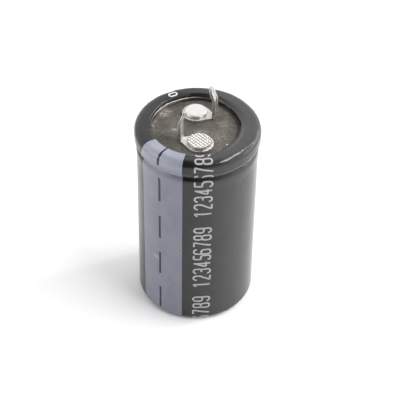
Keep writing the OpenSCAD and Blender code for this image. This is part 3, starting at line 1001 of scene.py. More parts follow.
@dataclass
class SleeveFace:
    """The sleeve's outer face as a sheet, measured along its outline and round the axis.

    Attributes:
        can_radius: Radius of the bare can.
        film: Thickness of the film.
        rim_radius: Radius of the bare rim.
        lip_radius: Inner radius of the bare rim.
        height: Height of the sleeved rim.
        corner: Rounding round the closed end.
        curl: Rounding of the rim outside.
        lip_curl: Rounding of the rim inside.
        wrap: How far the film turns in under the closed end.
        edge_drop: How far below the rim's top the film's cut edge lies.
        flare: How far the cut edge stands in from the rim.
        foot: Rounding where the rim starts.
        foot_centre: Height of that rounding's centre.
        dip: How far the film sinks in over the bead.
        dip_height: Height of the lower side of that dip.
        dip_slope: Slope of its upper side, as an angle.
        slack: How far the film stands off below the dip.
        slack_height: Height over which it comes off the wall.
        core: Radius and height of the middle of the rim's section.
        rim_start: Height above which its unevenness turns away from that middle.
        rim_blend: Height over which it turns.
        foot_blend: Height over which the unevenness grows from the foot.
        facet: Longest straight piece of the outline.
        overhang_azimuth: Direction of the side where the film hangs over the rubber.
        overhang_from: Cosine of the turn from there at which it starts.
        overhang_blend: How much more that cosine is where it is full.
        overhang_bend: Rounding that the film goes over there.
        overhang_depth: How far below the rim's top the overhanging part reaches.
        overhang_length: Length of that part along the outline.
        overhang_fall: How far it turns down, in radians.
        overhang_stretch: How much longer it is made.
        outline: The outline.
        stations: Its points.
        lengths: The length along it to each point.
    """

    can_radius: float = 12.35
    film: float = 0.2
    rim_radius: float = 12.8
    lip_radius: float = 9.85
    height: float = 45.0
    corner: float = 1.4
    curl: float = 1.6
    lip_curl: float = 0.68
    wrap: float = 3.0
    edge_drop: float = 0.86
    flare: float = 0.12
    foot: float = 1.3
    foot_centre: float = 42.2
    dip: float = 0.55
    dip_height: float = 0.8
    dip_slope: float = 35.0
    slack: float = 0.12
    slack_height: float = 2.6
    core: Point = (11.4, 43.3)
    rim_start: float = 41.6
    rim_blend: float = 1.2
    foot_blend: float = 1.5
    facet: float = 0.35
    overhang_azimuth: float = -2.0
    overhang_from: float = 0.12
    overhang_blend: float = 0.7
    overhang_bend: float = 0.7
    overhang_depth: float = 1.6
    overhang_length: float = 1.3
    overhang_fall: float = 0.75
    overhang_stretch: float = 1.25
    outline: Outline = field(init=False)
    stations: list[Vector] = field(init=False)
    lengths: list[float] = field(init=False)

    @property
    def wall(self) -> float:
        """Gives the outer radius of the sleeved wall."""
        return self.can_radius + self.film

    def __post_init__(self) -> None:
        """Works out the outline, its stations and the length to each."""
        wall = self.wall
        rim = self.rim_radius + self.film
        lip = self.lip_radius - self.film
        edge = self.height - self.edge_drop
        slope = math.radians(self.dip_slope)
        slope_end = self.foot_centre - self.foot / math.tan(math.radians(45) + slope / 2)
        dip_z = slope_end - (rim - wall + self.dip) * math.tan(slope)
        slack_z = dip_z - self.dip_height
        walk = (
            ((wall - self.wrap, 0.0), 0),
            ((wall, 0.0), self.corner),
            ((wall, slack_z - self.slack_height), 8.0),
            ((wall + self.slack, slack_z), 1.6),
            ((wall - self.dip, dip_z), 0.25),
            ((rim, slope_end), self.foot),
            ((rim, self.height), self.curl),
            ((lip, self.height), self.lip_curl),
            ((lip, edge + self.flare), 0.02),
            ((lip - self.flare, edge), 0),
        )
        self.outline = Outline(*zip(*walk))
        self.stations = evened(self.outline.rounded(steps=14), self.facet)
        self.lengths = [0.0]
        for a, b in zip(self.stations, self.stations[1:]):
            self.lengths.append(self.lengths[-1] + (b - a).length)
        foot = next(i for i, p in enumerate(self.stations) if p.x > wall - 1e-4)
        zero = self.lengths[foot] - self.stations[foot].y
        self.lengths = [length - zero for length in self.lengths]

    def at(self, length: float) -> tuple[Vector, Vector]:
        """Finds a place on the outline.

        Args:
            length: Length along the outline, equal to the height on the straight wall.

        Returns:
            The place and the outward direction there, as radius and height.
        """
        low, high = 0, len(self.stations) - 2
        while low < high:
            middle = (low + high + 1) // 2
            if self.lengths[middle] <= length:
                low = middle
            else:
                high = middle - 1
        a, b = self.stations[low], self.stations[low + 1]
        run = b - a
        share = (length - self.lengths[low]) / run.length
        return a + run * share, Vector((run.y, -run.x)).normalized()

    def place(self, point: Vector) -> Vector:
        """Lays flat artwork on the sleeve.

        Args:
            point: Its azimuth, its length along the outline and its lift.

        Returns:
            The place on the sleeve.
        """
        spot, side = self.at(point.y)
        spot = spot + side * point.z
        return round_point(spot.x, point.x, spot.y)

    def overhung(self, point: Vector) -> Vector:
        """Lets the film hang over the rubber on the side where it shrank further in.

        Args:
            point: A place on or near the film.

        Returns:
            The place with the film's overhang.
        """
        radius = off_axis(point)
        bend = self.overhang_bend
        inner = self.lip_radius - self.film
        centre = Vector((inner + bend, self.height - bend))
        if point.z < self.height - self.overhang_depth or radius > centre.x:
            return point
        facing = math.cos(math.atan2(point.y, point.x) - math.radians(self.overhang_azimuth))
        share = clamped((facing - self.overhang_from) / self.overhang_blend)
        share = share * share * (3 - 2 * share)
        spot = Vector((radius, point.z)) - centre
        if point.z > centre.y:
            along, lift = bend * math.atan2(-spot.x, spot.y), spot.length - bend
        else:
            along, lift = bend * math.pi / 2 - spot.y, inner - radius
        steps, sunk, reach = 12, 0.0, 0.0
        for k in range(steps):
            fall = self.overhang_fall * (k + 0.5) / steps * along / self.overhang_length
            reach += self.overhang_stretch * along / steps * math.cos(fall)
            sunk += self.overhang_stretch * along / steps * math.sin(fall)
        fall = self.overhang_fall * along / self.overhang_length
        radial = centre.x - reach - math.sin(fall) * lift
        height = self.height - sunk + math.cos(fall) * lift
        loose = Vector((point.x / radius * radial, point.y / radius * radial, height))
        return point.lerp(loose, share)

    def ripple(self, point: Vector) -> Vector:
        """Gives the small unevenness of the shrunk film, which print and film share.

        Args:
            point: A place on or near the film.

        Returns:
            The place after the film's unevenness.
        """
        point = self.overhung(point)
        radius = off_axis(point)
        flat = Vector((point.x / radius, point.y / radius, 0))
        core = flat * self.core[0] + Vector((0, 0, self.core[1]))
        over_rim = clamped((point.z - self.rim_start) / self.rim_blend)
        away = flat.lerp((point - core).normalized(), over_rim).normalized()
        spot = Vector((flat.x, flat.y, point.z))
        lift = 0.0
        for depth, across, along, phase, middle, reach in RUFFLES:
            band = math.exp(-(((point.z - middle) / reach) ** 2))
            lift += depth * band * unevenness(spot, across, along, phase)
        return point + away * lift * clamped(point.z / self.foot_blend)


@dataclass
class ShrinkSleeve:
    """The dark film over the can, with its cut edges."""

    face: SleeveFace
    around: int = 208
    inner_facet: float = 0.9
    lip_waves: Point = (0.12, 0.05)
    foot_waves: Point = (0.35, 0.12)

    def build(self, material: Finish) -> Piece:
        """Turns the film, ruffles its cut edges and fits it.

        Args:
            material: Its finish.

        Returns:
            The sleeve.
        """
        inner = evened(self.face.outline.rounded(-self.face.film, 6), self.inner_facet)
        piece = Bench.turned("shrunk_sleeve", self.face.stations + inner[::-1], self.around)
        Bench.bend_over(piece, self._worn)
        return Bench.finished(piece, material, "sleeve", ["sleeve"])

    def _worn(self, point: Vector) -> Vector:
        """Makes the cut edges uneven and adds the film's ripple.

        Args:
            point: A place on the film as it was turned.

        Returns:
            Its place on the shrunk film.
        """
        face = self.face
        radius = off_axis(point)
        flat = Vector((point.x, point.y, 0)) / radius
        wave = unevenness(flat, 4.0, 0.0, 1.7)
        nick = unevenness(flat, 17.0, 0.0, 5.1)
        if radius < face.lip_radius + 0.02 and point.z > face.height - 1.5:
            depth = clamped((face.height - 0.5 - point.z) / (face.edge_drop - 0.5))
            uneven = self.lip_waves[0] * wave + self.lip_waves[1] * nick
            point = point + Vector((0, 0, 1)) * depth * uneven
        inner_edge = face.wall - face.wrap
        if point.z < face.film + 0.01 and radius < inner_edge + 1.0:
            share = 1 - (radius - inner_edge)
            uneven = self.foot_waves[0] * wave + self.foot_waves[1] * nick
            point = point + flat * share * uneven
        return face.ripple(point)


@dataclass
class PolarityStripe:
    """The pale stripe with its minus marks, laid on the sleeve as a thin film."""

    face: SleeveFace
    azimuth: float = -126.7
    angle: float = 47.4
    dash_width: float = 0.55
    dash_length: float = 6.3
    dash_pitch: float = 10.35
    top_dash: float = 38.85
    rim_dash: float = 42.3
    narrowing: float = 2.6
    narrowing_length: float = 2.0
    foot: float = 0.35
    edge: float = 0.3
    thickness: float = 0.05
    proud: float = 0.018
    facets: tuple[int, int] = (60, 430)

    def build(self, material: Finish) -> Piece:
        """Cuts the stripe flat, takes its minus marks out and lays it on the sleeve.

        Args:
            material: Its finish.

        Returns:
            The stripe.
        """
        first, last = self.foot, self.face.lengths[-1] - self.edge
        across, along = self.facets
        Bench.clear()
        bpy.ops.mesh.primitive_grid_add(x_subdivisions=across, y_subdivisions=along, size=1)
        piece = Bench.named("polarity_stripe_ink")
        Bench.edit(piece, "SELECT")
        bpy.ops.transform.resize(value=(self.angle, last - first, 1))
        bpy.ops.transform.translate(value=(self.azimuth, (first + last) / 2, 0))
        for window in self._windows():
            self._cut_out(piece, *window)
        bpy.ops.mesh.select_all(action="SELECT")
        bpy.ops.mesh.extrude_region_move(TRANSFORM_OT_translate={"value": (0, 0, -self.thickness)})
        bpy.ops.mesh.select_all(action="SELECT")
        bpy.ops.transform.translate(value=(0, 0, self.proud))
        bpy.ops.mesh.normals_make_consistent(inside=False)
        bpy.ops.object.mode_set(mode="OBJECT")
        Bench.bend_over(piece, self._laid)
        return Bench.finished(piece, material, "polarity_stripe", ["polarity_stripe"])

    def _windows(self) -> list[Point]:
        """Lists where the minus marks start and end along the sleeve.

        Returns:
            The marks on the wall from the top down, and then the one over the rim.
        """
        marks = []
        top = self.top_dash
        while top - self.dash_length > 0:
            marks.append((top - self.dash_length, top))
            top -= self.dash_pitch
        walk = zip(self.face.lengths, self.face.stations)
        over_rim = next(length for length, spot in walk if spot.y > self.rim_dash)
        return [*marks, (over_rim, self.face.lengths[-1])]

    def _cut_out(self, piece: Piece, low: float, high: float) -> None:
        """Takes one minus mark out of the flat stripe.

        Args:
            piece: The stripe, open for editing.
            low: Where the mark starts along the sleeve.
            high: Where it ends.
        """
        half = math.degrees(self.dash_width / 2 / self.face.wall)
        left, right = self.azimuth - half, self.azimuth + half
        cuts = [((x, 0, 0), (1, 0, 0)) for x in (left, right)]
        cuts += [((0, y, 0), (0, 1, 0)) for y in (low, high)]
        for at, normal in cuts:
            bpy.ops.mesh.select_all(action="SELECT")
            bpy.ops.mesh.bisect(plane_co=at, plane_no=normal)
        bpy.ops.mesh.select_all(action="DESELECT")
        mesh = bmesh.from_edit_mesh(piece.data)
        for part in mesh.faces:
            middle = part.calc_center_median()
            part.select = left < middle.x < right and low < middle.y < high
        bmesh.update_edit_mesh(piece.data)
        bpy.ops.mesh.delete(type="FACE")

    def _laid(self, point: Vector) -> Vector:
        """Lays a point of the flat stripe on the uneven sleeve, a little narrower on the rim.

        Args:
            point: The point: azimuth, length along the sleeve and lift.

        Returns:
            Its place on the sleeve.
        """
        over_rim = clamped((point.y - self.rim_dash) / self.narrowing_length)
        left = max(0.0, self.azimuth - point.x) / (self.angle / 2)
        point = point + Vector((self.narrowing * over_rim * left, 0, 0))
        return self.face.ripple(self.face.place(point))


class Numeral(Enum):
    """The ten plain numerals, each as strokes of (across, up, rounding) corners.

    Across runs from 0 to 1 over the numeral's width and up from 0 to 1 over its height; the
    rounding is a share of the width. A stroke that ends where it starts is closed.
    """

    NOUGHT = (((0.5, 0, 0), (1, 0, 0.48), (1, 1, 0.48), (0, 1, 0.48), (0, 0, 0.48), (0.5, 0, 0)),)
    ONE = (((0.05, 0.84, 0), (0.55, 1, 0.06), (0.55, 0, 0)),)
    TWO = (((0, 0.8, 0), (0, 1, 0.48), (1, 1, 0.48), (1, 0.6, 0.5), (0, 0, 0.12), (1, 0, 0)),)
    THREE = (
        ((0, 0.82, 0), (0, 1, 0.48), (1, 1, 0.48), (1, 0.53, 0.3), (0.35, 0.53, 0)),
        ((0.35, 0.53, 0), (1, 0.53, 0.3), (1, 0, 0.48), (0, 0, 0.48), (0, 0.18, 0)),
    )
    FOUR = (((0.72, 0, 0), (0.72, 1, 0)), ((0.72, 0.97, 0), (0, 0.26, 0.12), (1.05, 0.26, 0)))
    FIVE = (
        ((0.95, 1, 0), (0.08, 1, 0.08), (0.08, 0.58, 0.1), (1, 0.58, 0.46))
        + ((1, 0, 0.48), (0, 0, 0.48), (0, 0.17, 0)),
    )
    SIX = (
        ((1, 0.83, 0), (1, 1, 0.48), (0, 1, 0.48), (0, 0, 0.48))
        + ((1, 0, 0.48), (1, 0.56, 0.46), (0, 0.56, 0)),
    )
    SEVEN = (((0, 1, 0), (1, 1, 0.12), (0.3, 0, 0)),)
    EIGHT = (
        ((0.5, 0.53, 0), (0.95, 0.53, 0.42), (0.95, 1, 0.42))
        + ((0.05, 1, 0.42), (0.05, 0.53, 0.42), (0.5, 0.53, 0)),
        ((0.5, 0, 0), (1, 0, 0.46), (1, 0.53, 0.46), (0, 0.53, 0.46), (0, 0, 0.46), (0.5, 0, 0)),
    )
    NINE = (
        ((0, 0.17, 0), (0, 0, 0.48), (1, 0, 0.48), (1, 1, 0.48))
        + ((0, 1, 0.48), (0, 0.44, 0.46), (1, 0.44, 0)),
    )


NUMERALS: tuple[Numeral, ...] = tuple(Numeral)


@dataclass
class NumeralColumn:
    """A column of plain numerals that runs up the sleeve, read from the bottom.

    Attributes:
        face: The sleeve that it is printed on.
        name: Name of the piece.
        foot_azimuth: Direction of the numerals' feet, seen from above.
        tall: Height of a numeral, which lies round the can.
        wide: Width of a numeral, which lies along the can.
        pitch: Distance from one numeral to the next.
        stroke: Width of a stroke.
        groups: Where each group starts along the sleeve, with its figures.
        proud: How far the ink stands out of the film.
        thickness: How thick the ink is.
        facet: Longest straight piece of a stroke.
        edge: How far before the film's cut edge the print ends.
    """

    face: SleeveFace
    name: str
    foot_azimuth: float
    tall: float
    wide: float
    pitch: float
    stroke: float
    groups: tuple[tuple[float, str], ...]
    proud: float = 0.02
    thickness: float = 0.05
    facet: float = 0.13
    edge: float = 0.25

    def build(self, material: Finish) -> Piece:
        """Draws the figures flat, gives them their stroke and lays them on the sleeve.

        Args:
            material: Their finish.

        Returns:
            The column.
        """
        x, y = self.stroke / 2, self.thickness / 2
        outline = bpy.data.curves.new("nib", "CURVE")
        self._add_line(outline, ((-x, -y), (x, -y), (x, y), (-x, y)), True)
        nib = Bench.added("nib", outline)
        drawn = bpy.data.curves.new(self.name, "CURVE")
        drawn.dimensions = "3D"
        drawn.twist_mode = "Z_UP"
        drawn.bevel_mode = "OBJECT"
        drawn.bevel_object = nib
        drawn.use_fill_caps = True
        for start, figures in self.groups:
            for place, figure in enumerate(figures):
                for stroke in NUMERALS[int(figure)].value:
                    self._stroke(drawn, stroke, start + place * self.pitch)
        Bench.pick(Bench.added(self.name, drawn))
        bpy.ops.object.convert(target="MESH")
        bpy.data.objects.remove(nib)
        piece = Bench.named(self.name)
        Bench.edit(piece, "SELECT")
        bpy.ops.mesh.remove_doubles(threshold=1e-4)
        bpy.ops.mesh.normals_make_consistent(inside=False)
        bpy.ops.mesh.intersect_boolean(operation="UNION", use_self=True, solver="EXACT")
        Bench.close_up(2e-3)
        Bench.bend_over(piece, self._laid)
        return Bench.finished(piece, material, "polarity_stripe")

    def _add_line(self, curve: bpy.types.Curve, line: Sequence[Point], closed: bool) -> None:
        """Adds a line of straight pieces to a curve.

        Args:
            curve: The curve.
            line: The line's points.
            closed: Whether it comes back to its start.
        """
        spline = curve.splines.new("POLY")
        spline.points.add(len(line) - 1)
        for point, (x, y) in zip(spline.points, line):
            point.co = (x, y, 0, 1)
        spline.use_cyclic_u = closed

    def _stroke(self, drawn: bpy.types.Curve, stroke: Sequence[Spot], start: float) -> None:
        """Adds one stroke of a figure to the flat drawing, x round the can and y along it.

        Args:
            drawn: The drawing.
            stroke: Corners of the stroke, as a Numeral has them.
            start: Where the figure starts along the can.
        """
        across, up = self.wide - self.stroke, self.tall - self.stroke
        corners = [Vector((x * across, y * up)) for x, y, _ in stroke]
        line = rounded_off(corners, [share * across for _, _, share in stroke], 7)
        line = evened(line, self.facet)
        closed = (corners[0] - corners[-1]).length < 1e-6
        if closed:
            line.pop()
        self._add_line(drawn, [(-spot.y, start + spot.x) for spot in line], closed)

    def _laid(self, point: Vector) -> Vector:
        """Lays a point of the flat drawing on the uneven sleeve.

        Args:
            point: The point: round the can, along it and up from the drawing.

        Returns:
            Its place on the sleeve.
        """
        lift = self.proud - self.thickness / 2 + point.z
        azimuth = self.foot_azimuth + math.degrees(point.x / self.face.wall)
        length = min(point.y, self.face.lengths[-1] - self.edge)
        return self.face.ripple(self.face.place(Vector((azimuth, length, lift))))


# --- Can and seal ---


@dataclass
class DrawnCan:
    """The deep-drawn aluminium can with its bead, curled edge and scored vent."""

    radius: float = 12.35
    wall: float = 0.4
    bottom: float = 0.2
    end: float = 0.5
    rim_radius: float = 12.8
    top: float = 44.8
    lip_radius: float = 9.85
    lip_end: float = 43.15
    bead_low: float = 40.3
    bead_high: float = 41.1
    bead_depth: float = 1.15
    vent_length: float = 12.0
    vent_depth: float = 0.3
    vent_width: float = 0.7
    vent_turns: Point = (45, 135)
    around: int = 128
    facet: float = 1.5
    inner_facet: float = 3.0

    def build(self, material: Finish) -> Piece:
        """Turns the can, scores its vent and fits it.

        Args:
            material: Its finish.

        Returns:
            The can.
        """
        neck = self.radius - self.bead_depth
        walk = (
            ((0.05, self.bottom), 0),
            ((self.radius, self.bottom), 1.2),
            ((self.radius, self.bead_low), 0.45),
            ((neck, self.bead_low), 0.35),
            ((neck, self.bead_high), 0.35),
            ((self.rim_radius, self.bead_high), 1.1),
            ((self.rim_radius, self.top), 1.4),
            ((self.lip_radius, self.top), 0.5),
            ((self.lip_radius, self.lip_end), 0),
        )
        line = Outline(*zip(*walk))
        outer = evened(line.rounded(), self.facet)
        inner = evened(line.rounded(-self.wall), self.inner_facet)[::-1]
        floor = self.bottom + self.end
        inner = [Vector((p.x, max(p.y, floor))) for p in inner]
        piece = Bench.turned("drawn_can", outer + inner, self.around, closed=False)
        for turn in self.vent_turns:
            Bench.cut(piece, self._score(turn))
        return Bench.finished(piece, material, "can", ["can"], crease=35)

    def _score(self, turn: float) -> Piece:
        """Makes the wedge that cuts one score line of the vent.

        Args:
            turn: Direction of the score line, seen from above.

        Returns:
            The wedge.
        """
        half = self.vent_length / 2
        low, high, w = self.bottom - 1, self.bottom + self.vent_depth, self.vent_width / 2
        swing = Matrix.Rotation(math.radians(turn), 3, "Z")
        right = [(w + 0.3, low), (w, self.bottom), (0.06, high)]
        shape = [(-w - 0.3, low), *right, *[(-y, z) for y, z in right[:0:-1]]]
        sections = [[swing @ Vector((x, y, z)) for y, z in shape] for x in (-half, half)]
        return Bench.drawn_out("vent_score", sections)


@dataclass
class SealFace:
    """The rubber facing inside the rim, swollen a little against the curled edge."""

    radius: float = 12.4
    top: float = 43.4
    thickness: float = 0.8
    lip_radius: float = 9.85
    lip_wall: float = 0.4
    bite: float = 0.25
    shank: float = 2.4
    rivets: tuple[Point, Point] = ((-0.488, 4.976), (0.488, -4.976))
    around: int = 144
    edge_facet: float = 0.6
    face_facet: float = 0.22

    def build(self, material: Finish) -> Piece:
        """Turns the facing, bores it for the rivets and roughens its face.

        Args:
            material: Its finish.

        Returns:
            The facing.
        """
        top, seat, wall = self.top, self.lip_radius, self.lip_radius + self.lip_wall
        low, bitten = top - self.thickness, top - self.bite
        edge = [(0.04, low), (self.radius, low), (self.radius, top), (wall, top)]
        edge += [(wall - 0.02, bitten), (seat - 0.03, bitten)]
        edge += [(seat - 0.12, top - 0.05), (seat - 0.45, top + 0.07)]
        upper = [(seat - 0.9, top + 0.01), (0.04, top)]
        line = evened([Vector(c) for c in edge], self.edge_facet)
        line += evened([Vector(c) for c in upper], self.face_facet)
        piece = Bench.turned("seal_face", line, self.around, closed=False)
        Bench.bend_over(piece, self._grained)
        for x, y in self.rivets:
            Bench.bore(piece, self.shank / 2, (x, y, top))
        return Bench.finished(piece, material, "seal_rubber", ["seal_rubber"], crease=50)

    def _grained(self, point: Vector) -> Vector:
        """Raises and sinks the upper face by the rubber's moulded grain.

        Args:
            point: A place on the facing.

        Returns:
            The place with its grain.
        """
        if point.z < self.top - 0.1 or off_axis(point) > self.lip_radius - 0.2:
            return point
        broad = unevenness(point, 0.3, 0.0, 3.0)
        fine = unevenness(point, 1.9, 0.0, 8.0)
        return point + Vector((0, 0, 0.05 * broad + 0.02 * fine))


# --- Rivets and terminals ---


class Pole(Enum):
    """The two poles, with the turn about the axis that brings the positive side to each."""

    POSITIVE = 0.0
    NEGATIVE = 180.0

    def word(self) -> str:
        """Gives the word that the CAD nodes are named with."""
        return self.name.lower()

    def swing(self) -> Matrix:
        """Turns the positive side to this pole."""
        return Matrix.Rotation(math.radians(self.value), 4, "Z")


@dataclass
class Rivet:
    """A riveted post: outer head, shank and clinched inner end."""

    pole: Pole
    pitch: float = 10.0
    azimuth: float = 95.6
    seat: float = 43.85
    head_radius: float = 2.375
    head_height: float = 0.7
    shank: float = 1.2
    washer_low: float = 40.7
    clinch_radius: float = 2.0
    clinch_height: float = 0.5
    spread: float = 0.15
    shift: Spot = (0.1, -0.04, 0)
    knurl_pitch: float = 0.65
    knurl_turns: Point = (44.0, -46.0)
    knurl_depth: float = 0.1
    groove_width: float = 0.25
    around: int = 72
    facet: float = 0.4

    def build(self, material: Finish) -> Piece:
        """Turns the rivet, knurls the negative one and fits it.

        Args:
            material: Its finish.

        Returns:
            The rivet.
        """
        knurled = self.pole is Pole.NEGATIVE
        node = f"rivet_{self.pole.word()}"
        top = self.seat + self.head_height
        spot = round_point(self.pitch / 2, self.azimuth, 0)
        r, crown, slope, edge = self.head_radius, 0.03, 0.42, 0.14
        if knurled:
            r, crown, slope, edge = r + self.spread, 0.0, 0.2, 0.05
            spot = spot + Vector(self.shift)
        low = self.washer_low - self.clinch_height
        walk = (
            ((0.03, low), 0),
            ((self.clinch_radius, low), 0.15),
            ((self.clinch_radius, self.washer_low), 0.02),
            ((self.shank, self.washer_low), 0.02),
            ((self.shank, self.seat), 0.02),
            ((r - 0.04, self.seat), 0.06),
            ((r, self.seat + 0.3), 0.12),
            ((r - 0.1, top - 0.16), edge),
            ((r - slope, top - crown), 0.05),
            ((0.03, top), 0),
        )
        line = evened(Outline(*zip(*walk)).rounded(steps=5), self.facet)
        piece = Bench.turned(f"{node}_post", line, self.around, closed=False)
        if knurled:
            self._knurl(piece, top)
        piece.data.transform(self.pole.swing() @ Matrix.Translation(spot))
        return Bench.finished(piece, material, node, [node], crease=32)

    def _knurl(self, piece: Piece, top: float) -> None:
        """Rolls crossed grooves into the head's face.

        Args:
            piece: The turned rivet, on the axis.
            top: Height of the head's face.
        """
        count = math.ceil(self.head_radius / self.knurl_pitch) + 1
        ways = [round_point(1.0, turn, 0) for turn in self.knurl_turns]
        middles = [(k + 0.3) * self.knurl_pitch for k in range(-count, count + 1)]
        half = self.groove_width / 2
        Bench.edit(piece)
        for way in ways:
            for place in (middle + side for middle in middles for side in (-half, 0.0, half)):
                mesh = bmesh.from_edit_mesh(piece.data)
                mesh.select_mode = {"FACE"}
                for part in mesh.faces:
                    high = part.calc_center_median().z > top - 0.3
                    part.select = high and part.normal.z > 0.5
                mesh.select_flush_mode()
                bmesh.update_edit_mesh(piece.data)
                bpy.ops.mesh.bisect(plane_co=way * place, plane_no=way)
        mesh = bmesh.from_edit_mesh(piece.data)
        for vertex in mesh.verts:
            if vertex.co.z < top - 0.13:
                continue
            nearest = min(abs(vertex.co.dot(way) - middle) for way in ways for middle in middles)
            vertex.co.z -= self.knurl_depth * max(0.0, 1 - nearest / half)
        bmesh.update_edit_mesh(piece.data)
        bpy.ops.mesh.select_mode(type="VERT")
        Bench.close_up()


@dataclass
class SnapInTerminal:
    """A stamped strip: ring under the rivet, bend, and folded pin with its knee."""

    pole: Pole
    rivet_pitch: float = 10.0
    rivet_azimuth: float = 95.6
    pin_pitch: float = 10.0
    pin_azimuth: float = 49.4
    base: float = 43.4
    strip: float = 0.45
    ring_radius: float = 2.8
    hole_radius: float = 1.2
    width: float = 1.7
    bend: float = 0.12
    top: float = 50.95
    seam: float = 0.22
    knee: float = 3.9
    knee_bend: float = 0.45
    lean: float = 0.9
    depth: float = 0.78
    tip_depth: float = 0.6
    fold_foot: float = 0.35
    fold_slope: float = 0.45
    tip_width: float = 0.9
    tip_length: float = 1.2
    burr: float = 0.045

    def build(self, material: Finish) -> Piece:
        """Forms the strip, turns it to its place and fits it.

        Args:
            material: Its finish.

        Returns:
            The terminal.
        """
        rivet = round_point(self.rivet_pitch / 2, self.rivet_azimuth, self.base)
        pin = round_point(self.pin_pitch / 2, self.pin_azimuth, self.base)
        run = pin - rivet
        reach = run.length - self.strip / 2
        ring = self._ring(reach)
        Bench.cut(ring, self._blade(reach), "UNION")
        Bench.pick(ring)
        piece = Bench.named(f"snap_in_pin_{self.pole.word()}")
        sharp = {"limit_method": "ANGLE", "angle_limit": math.radians(40)}
        Bench.modify(piece, "BEVEL", width=self.burr, segments=2, **sharp)
        swing = Matrix.Rotation(math.atan2(run.y, run.x), 4, "Z")
        piece.data.transform(self.pole.swing() @ Matrix.Translation(rivet) @ swing)
        node = f"terminal_{self.pole.word()}"
        return Bench.finished(piece, material, node, [node], crease=35)

    def _ring(self, reach: float) -> Piece:
        """Stamps the ring with the two tangents that run to the bend.

        Args:
            reach: Distance from the rivet to the pin's near side.

        Returns:
            The ring, round the axis.
        """
        corner = Vector((reach - self.bend, self.width / 2))
        touch = math.atan2(corner.y, corner.x) + math.acos(self.ring_radius / corner.length)
        steps, sweep = 56, 2 * math.pi - 2 * touch
        turns = [touch + sweep * k / steps for k in range(steps + 1)]
        outline = [self.ring_radius * Vector((math.cos(t), math.sin(t), 0)) for t in turns]
        outline += [Vector((corner.x, -corner.y, 0)), Vector((corner.x, corner.y, 0))]
        raised = [p + Vector((0, 0, self.strip)) for p in outline]
        ring = Bench.drawn_out("ring_blank", [outline, raised])
        Bench.bore(ring, self.hole_radius, (0, 0, 0))
        return ring

    def _blade(self, reach: float) -> Piece:
        """Forms the bend and the folded pin by drawing the strip's section along its line.

        Args:
            reach: Distance from the rivet to the pin's near side.

        Returns:
            The blade.
        """
        centre = Vector((reach - self.bend, 0, self.strip + self.bend))
        sections = []
        for turn in (math.radians(90 * k / 8) for k in range(9)):
            inward = Vector((math.sin(turn), 0, -math.cos(turn)))
            coined = self.strip * (1 + 0.28 * math.sin(2 * turn))
            face = centre + inward * self.bend
            sections.append(self._section(face, inward, self.width, coined, 0.0))
        foot = self.strip + self.bend
        length = self.top - self.base - foot
        for height in self._heights(length):
            sections.append(self._pin_section(reach, foot, height, length))
        sections[0] = [p - Vector((0.02, 0, 0)) for p in sections[0]]
        return Bench.drawn_out("pin_blank", sections)

    def _heights(self, length: float) -> list[float]:
        """Lists the stations up the pin, close together where its form changes.

        Args:
            length: Height of the tip above the bend.

        Returns:
            Their heights above the bend.
        """
        start = self.fold_foot
        marks = [0.08, start, start + self.fold_slope * 0.5, start + self.fold_slope]
        marks += [1.6, 2.6, 3.2, 5.0, 5.4, length - self.tip_length]
        marks += [self.knee - self.knee_bend + 0.1 * k for k in range(10)]
        marks += [length - self.tip_length * share for share in (0.75, 0.5, 0.3, 0.14, 0.04, 0.0)]
        return sorted(marks)

    def _pin_section(
        self, reach: float, foot: float, height: float, length: float
    ) -> list[Vector]:
        """Works out the section of the pin at a height above the bend.

        Args:
            reach: Distance from the rivet to the pin's near side.
            foot: Height of the bend's upper end above the base.
            height: Height above the bend.
            length: Height of the tip above the bend.

        Returns:
            The corners, in one walk round the section.
        """
        over = max(0.0, height - self.knee) / (length - self.knee)
        blend = clamped((height - self.knee + self.knee_bend) / (2 * self.knee_bend))
        tilt = math.atan2(self.lean, length - self.knee) * blend
        soft = self.knee_bend * 0.5 * blend * blend
        back = self.lean * over if blend == 1 else math.tan(tilt) * soft
        fold = clamped((height - self.fold_foot) / self.fold_slope)
        depth = self.strip + fold * (self.depth - self.strip)
        depth += over * (self.tip_depth - self.depth)
        share = max(0.0, (height - (length - self.tip_length)) / self.tip_length)
        width = self.width + (self.tip_width - self.width) * share**1.6
        out = Vector((math.cos(tilt), 0, math.sin(tilt)))
        face = Vector((reach - back, 0, foot + height))
        return self._section(face, out, width, self.strip, depth - self.strip)

    def _section(
        self, face: Vector, out: Vector, width: float, strip: float, fold: float
    ) -> list[Vector]:
        """Draws the strip's section: a flat bar, or a trough whose edges fold outwards.

        Args:
            face: Middle of the side towards the rivet.
            out: Direction away from the rivet.
            width: Width of the strip there.
            strip: Thickness of the strip.
            fold: How far the folded edges stand past the bar.

        Returns:
            The corners, in one walk round the section.
        """
        side = Vector((0, 1, 0))
        half = width / 2
        lip = min(0.4, half * 0.45)
        folded = min(1.0, fold / 0.15)
        sag = 0.06 * folded
        inner = half - (0.002 + self.seam * folded * min(1.0, half / 0.8))
        full = strip + fold
        right = [(half, sag), (half, full * 0.42), (inner, full * 0.48), (inner, full * 0.58)]
        right += [(half, full * 0.66), (half, full), (half - lip * 0.6, full + 0.001)]
        right += [(half - lip, strip + fold * 0.25)]
        left = [(-across, depth) for across, depth in reversed(right)]
        walk = [(-half * 0.5, sag * 0.2), (half * 0.5, sag * 0.2), *right, *left]
        return [face + side * across + out * depth for across, depth in walk]


# --- Inner pieces, studio and the whole ---


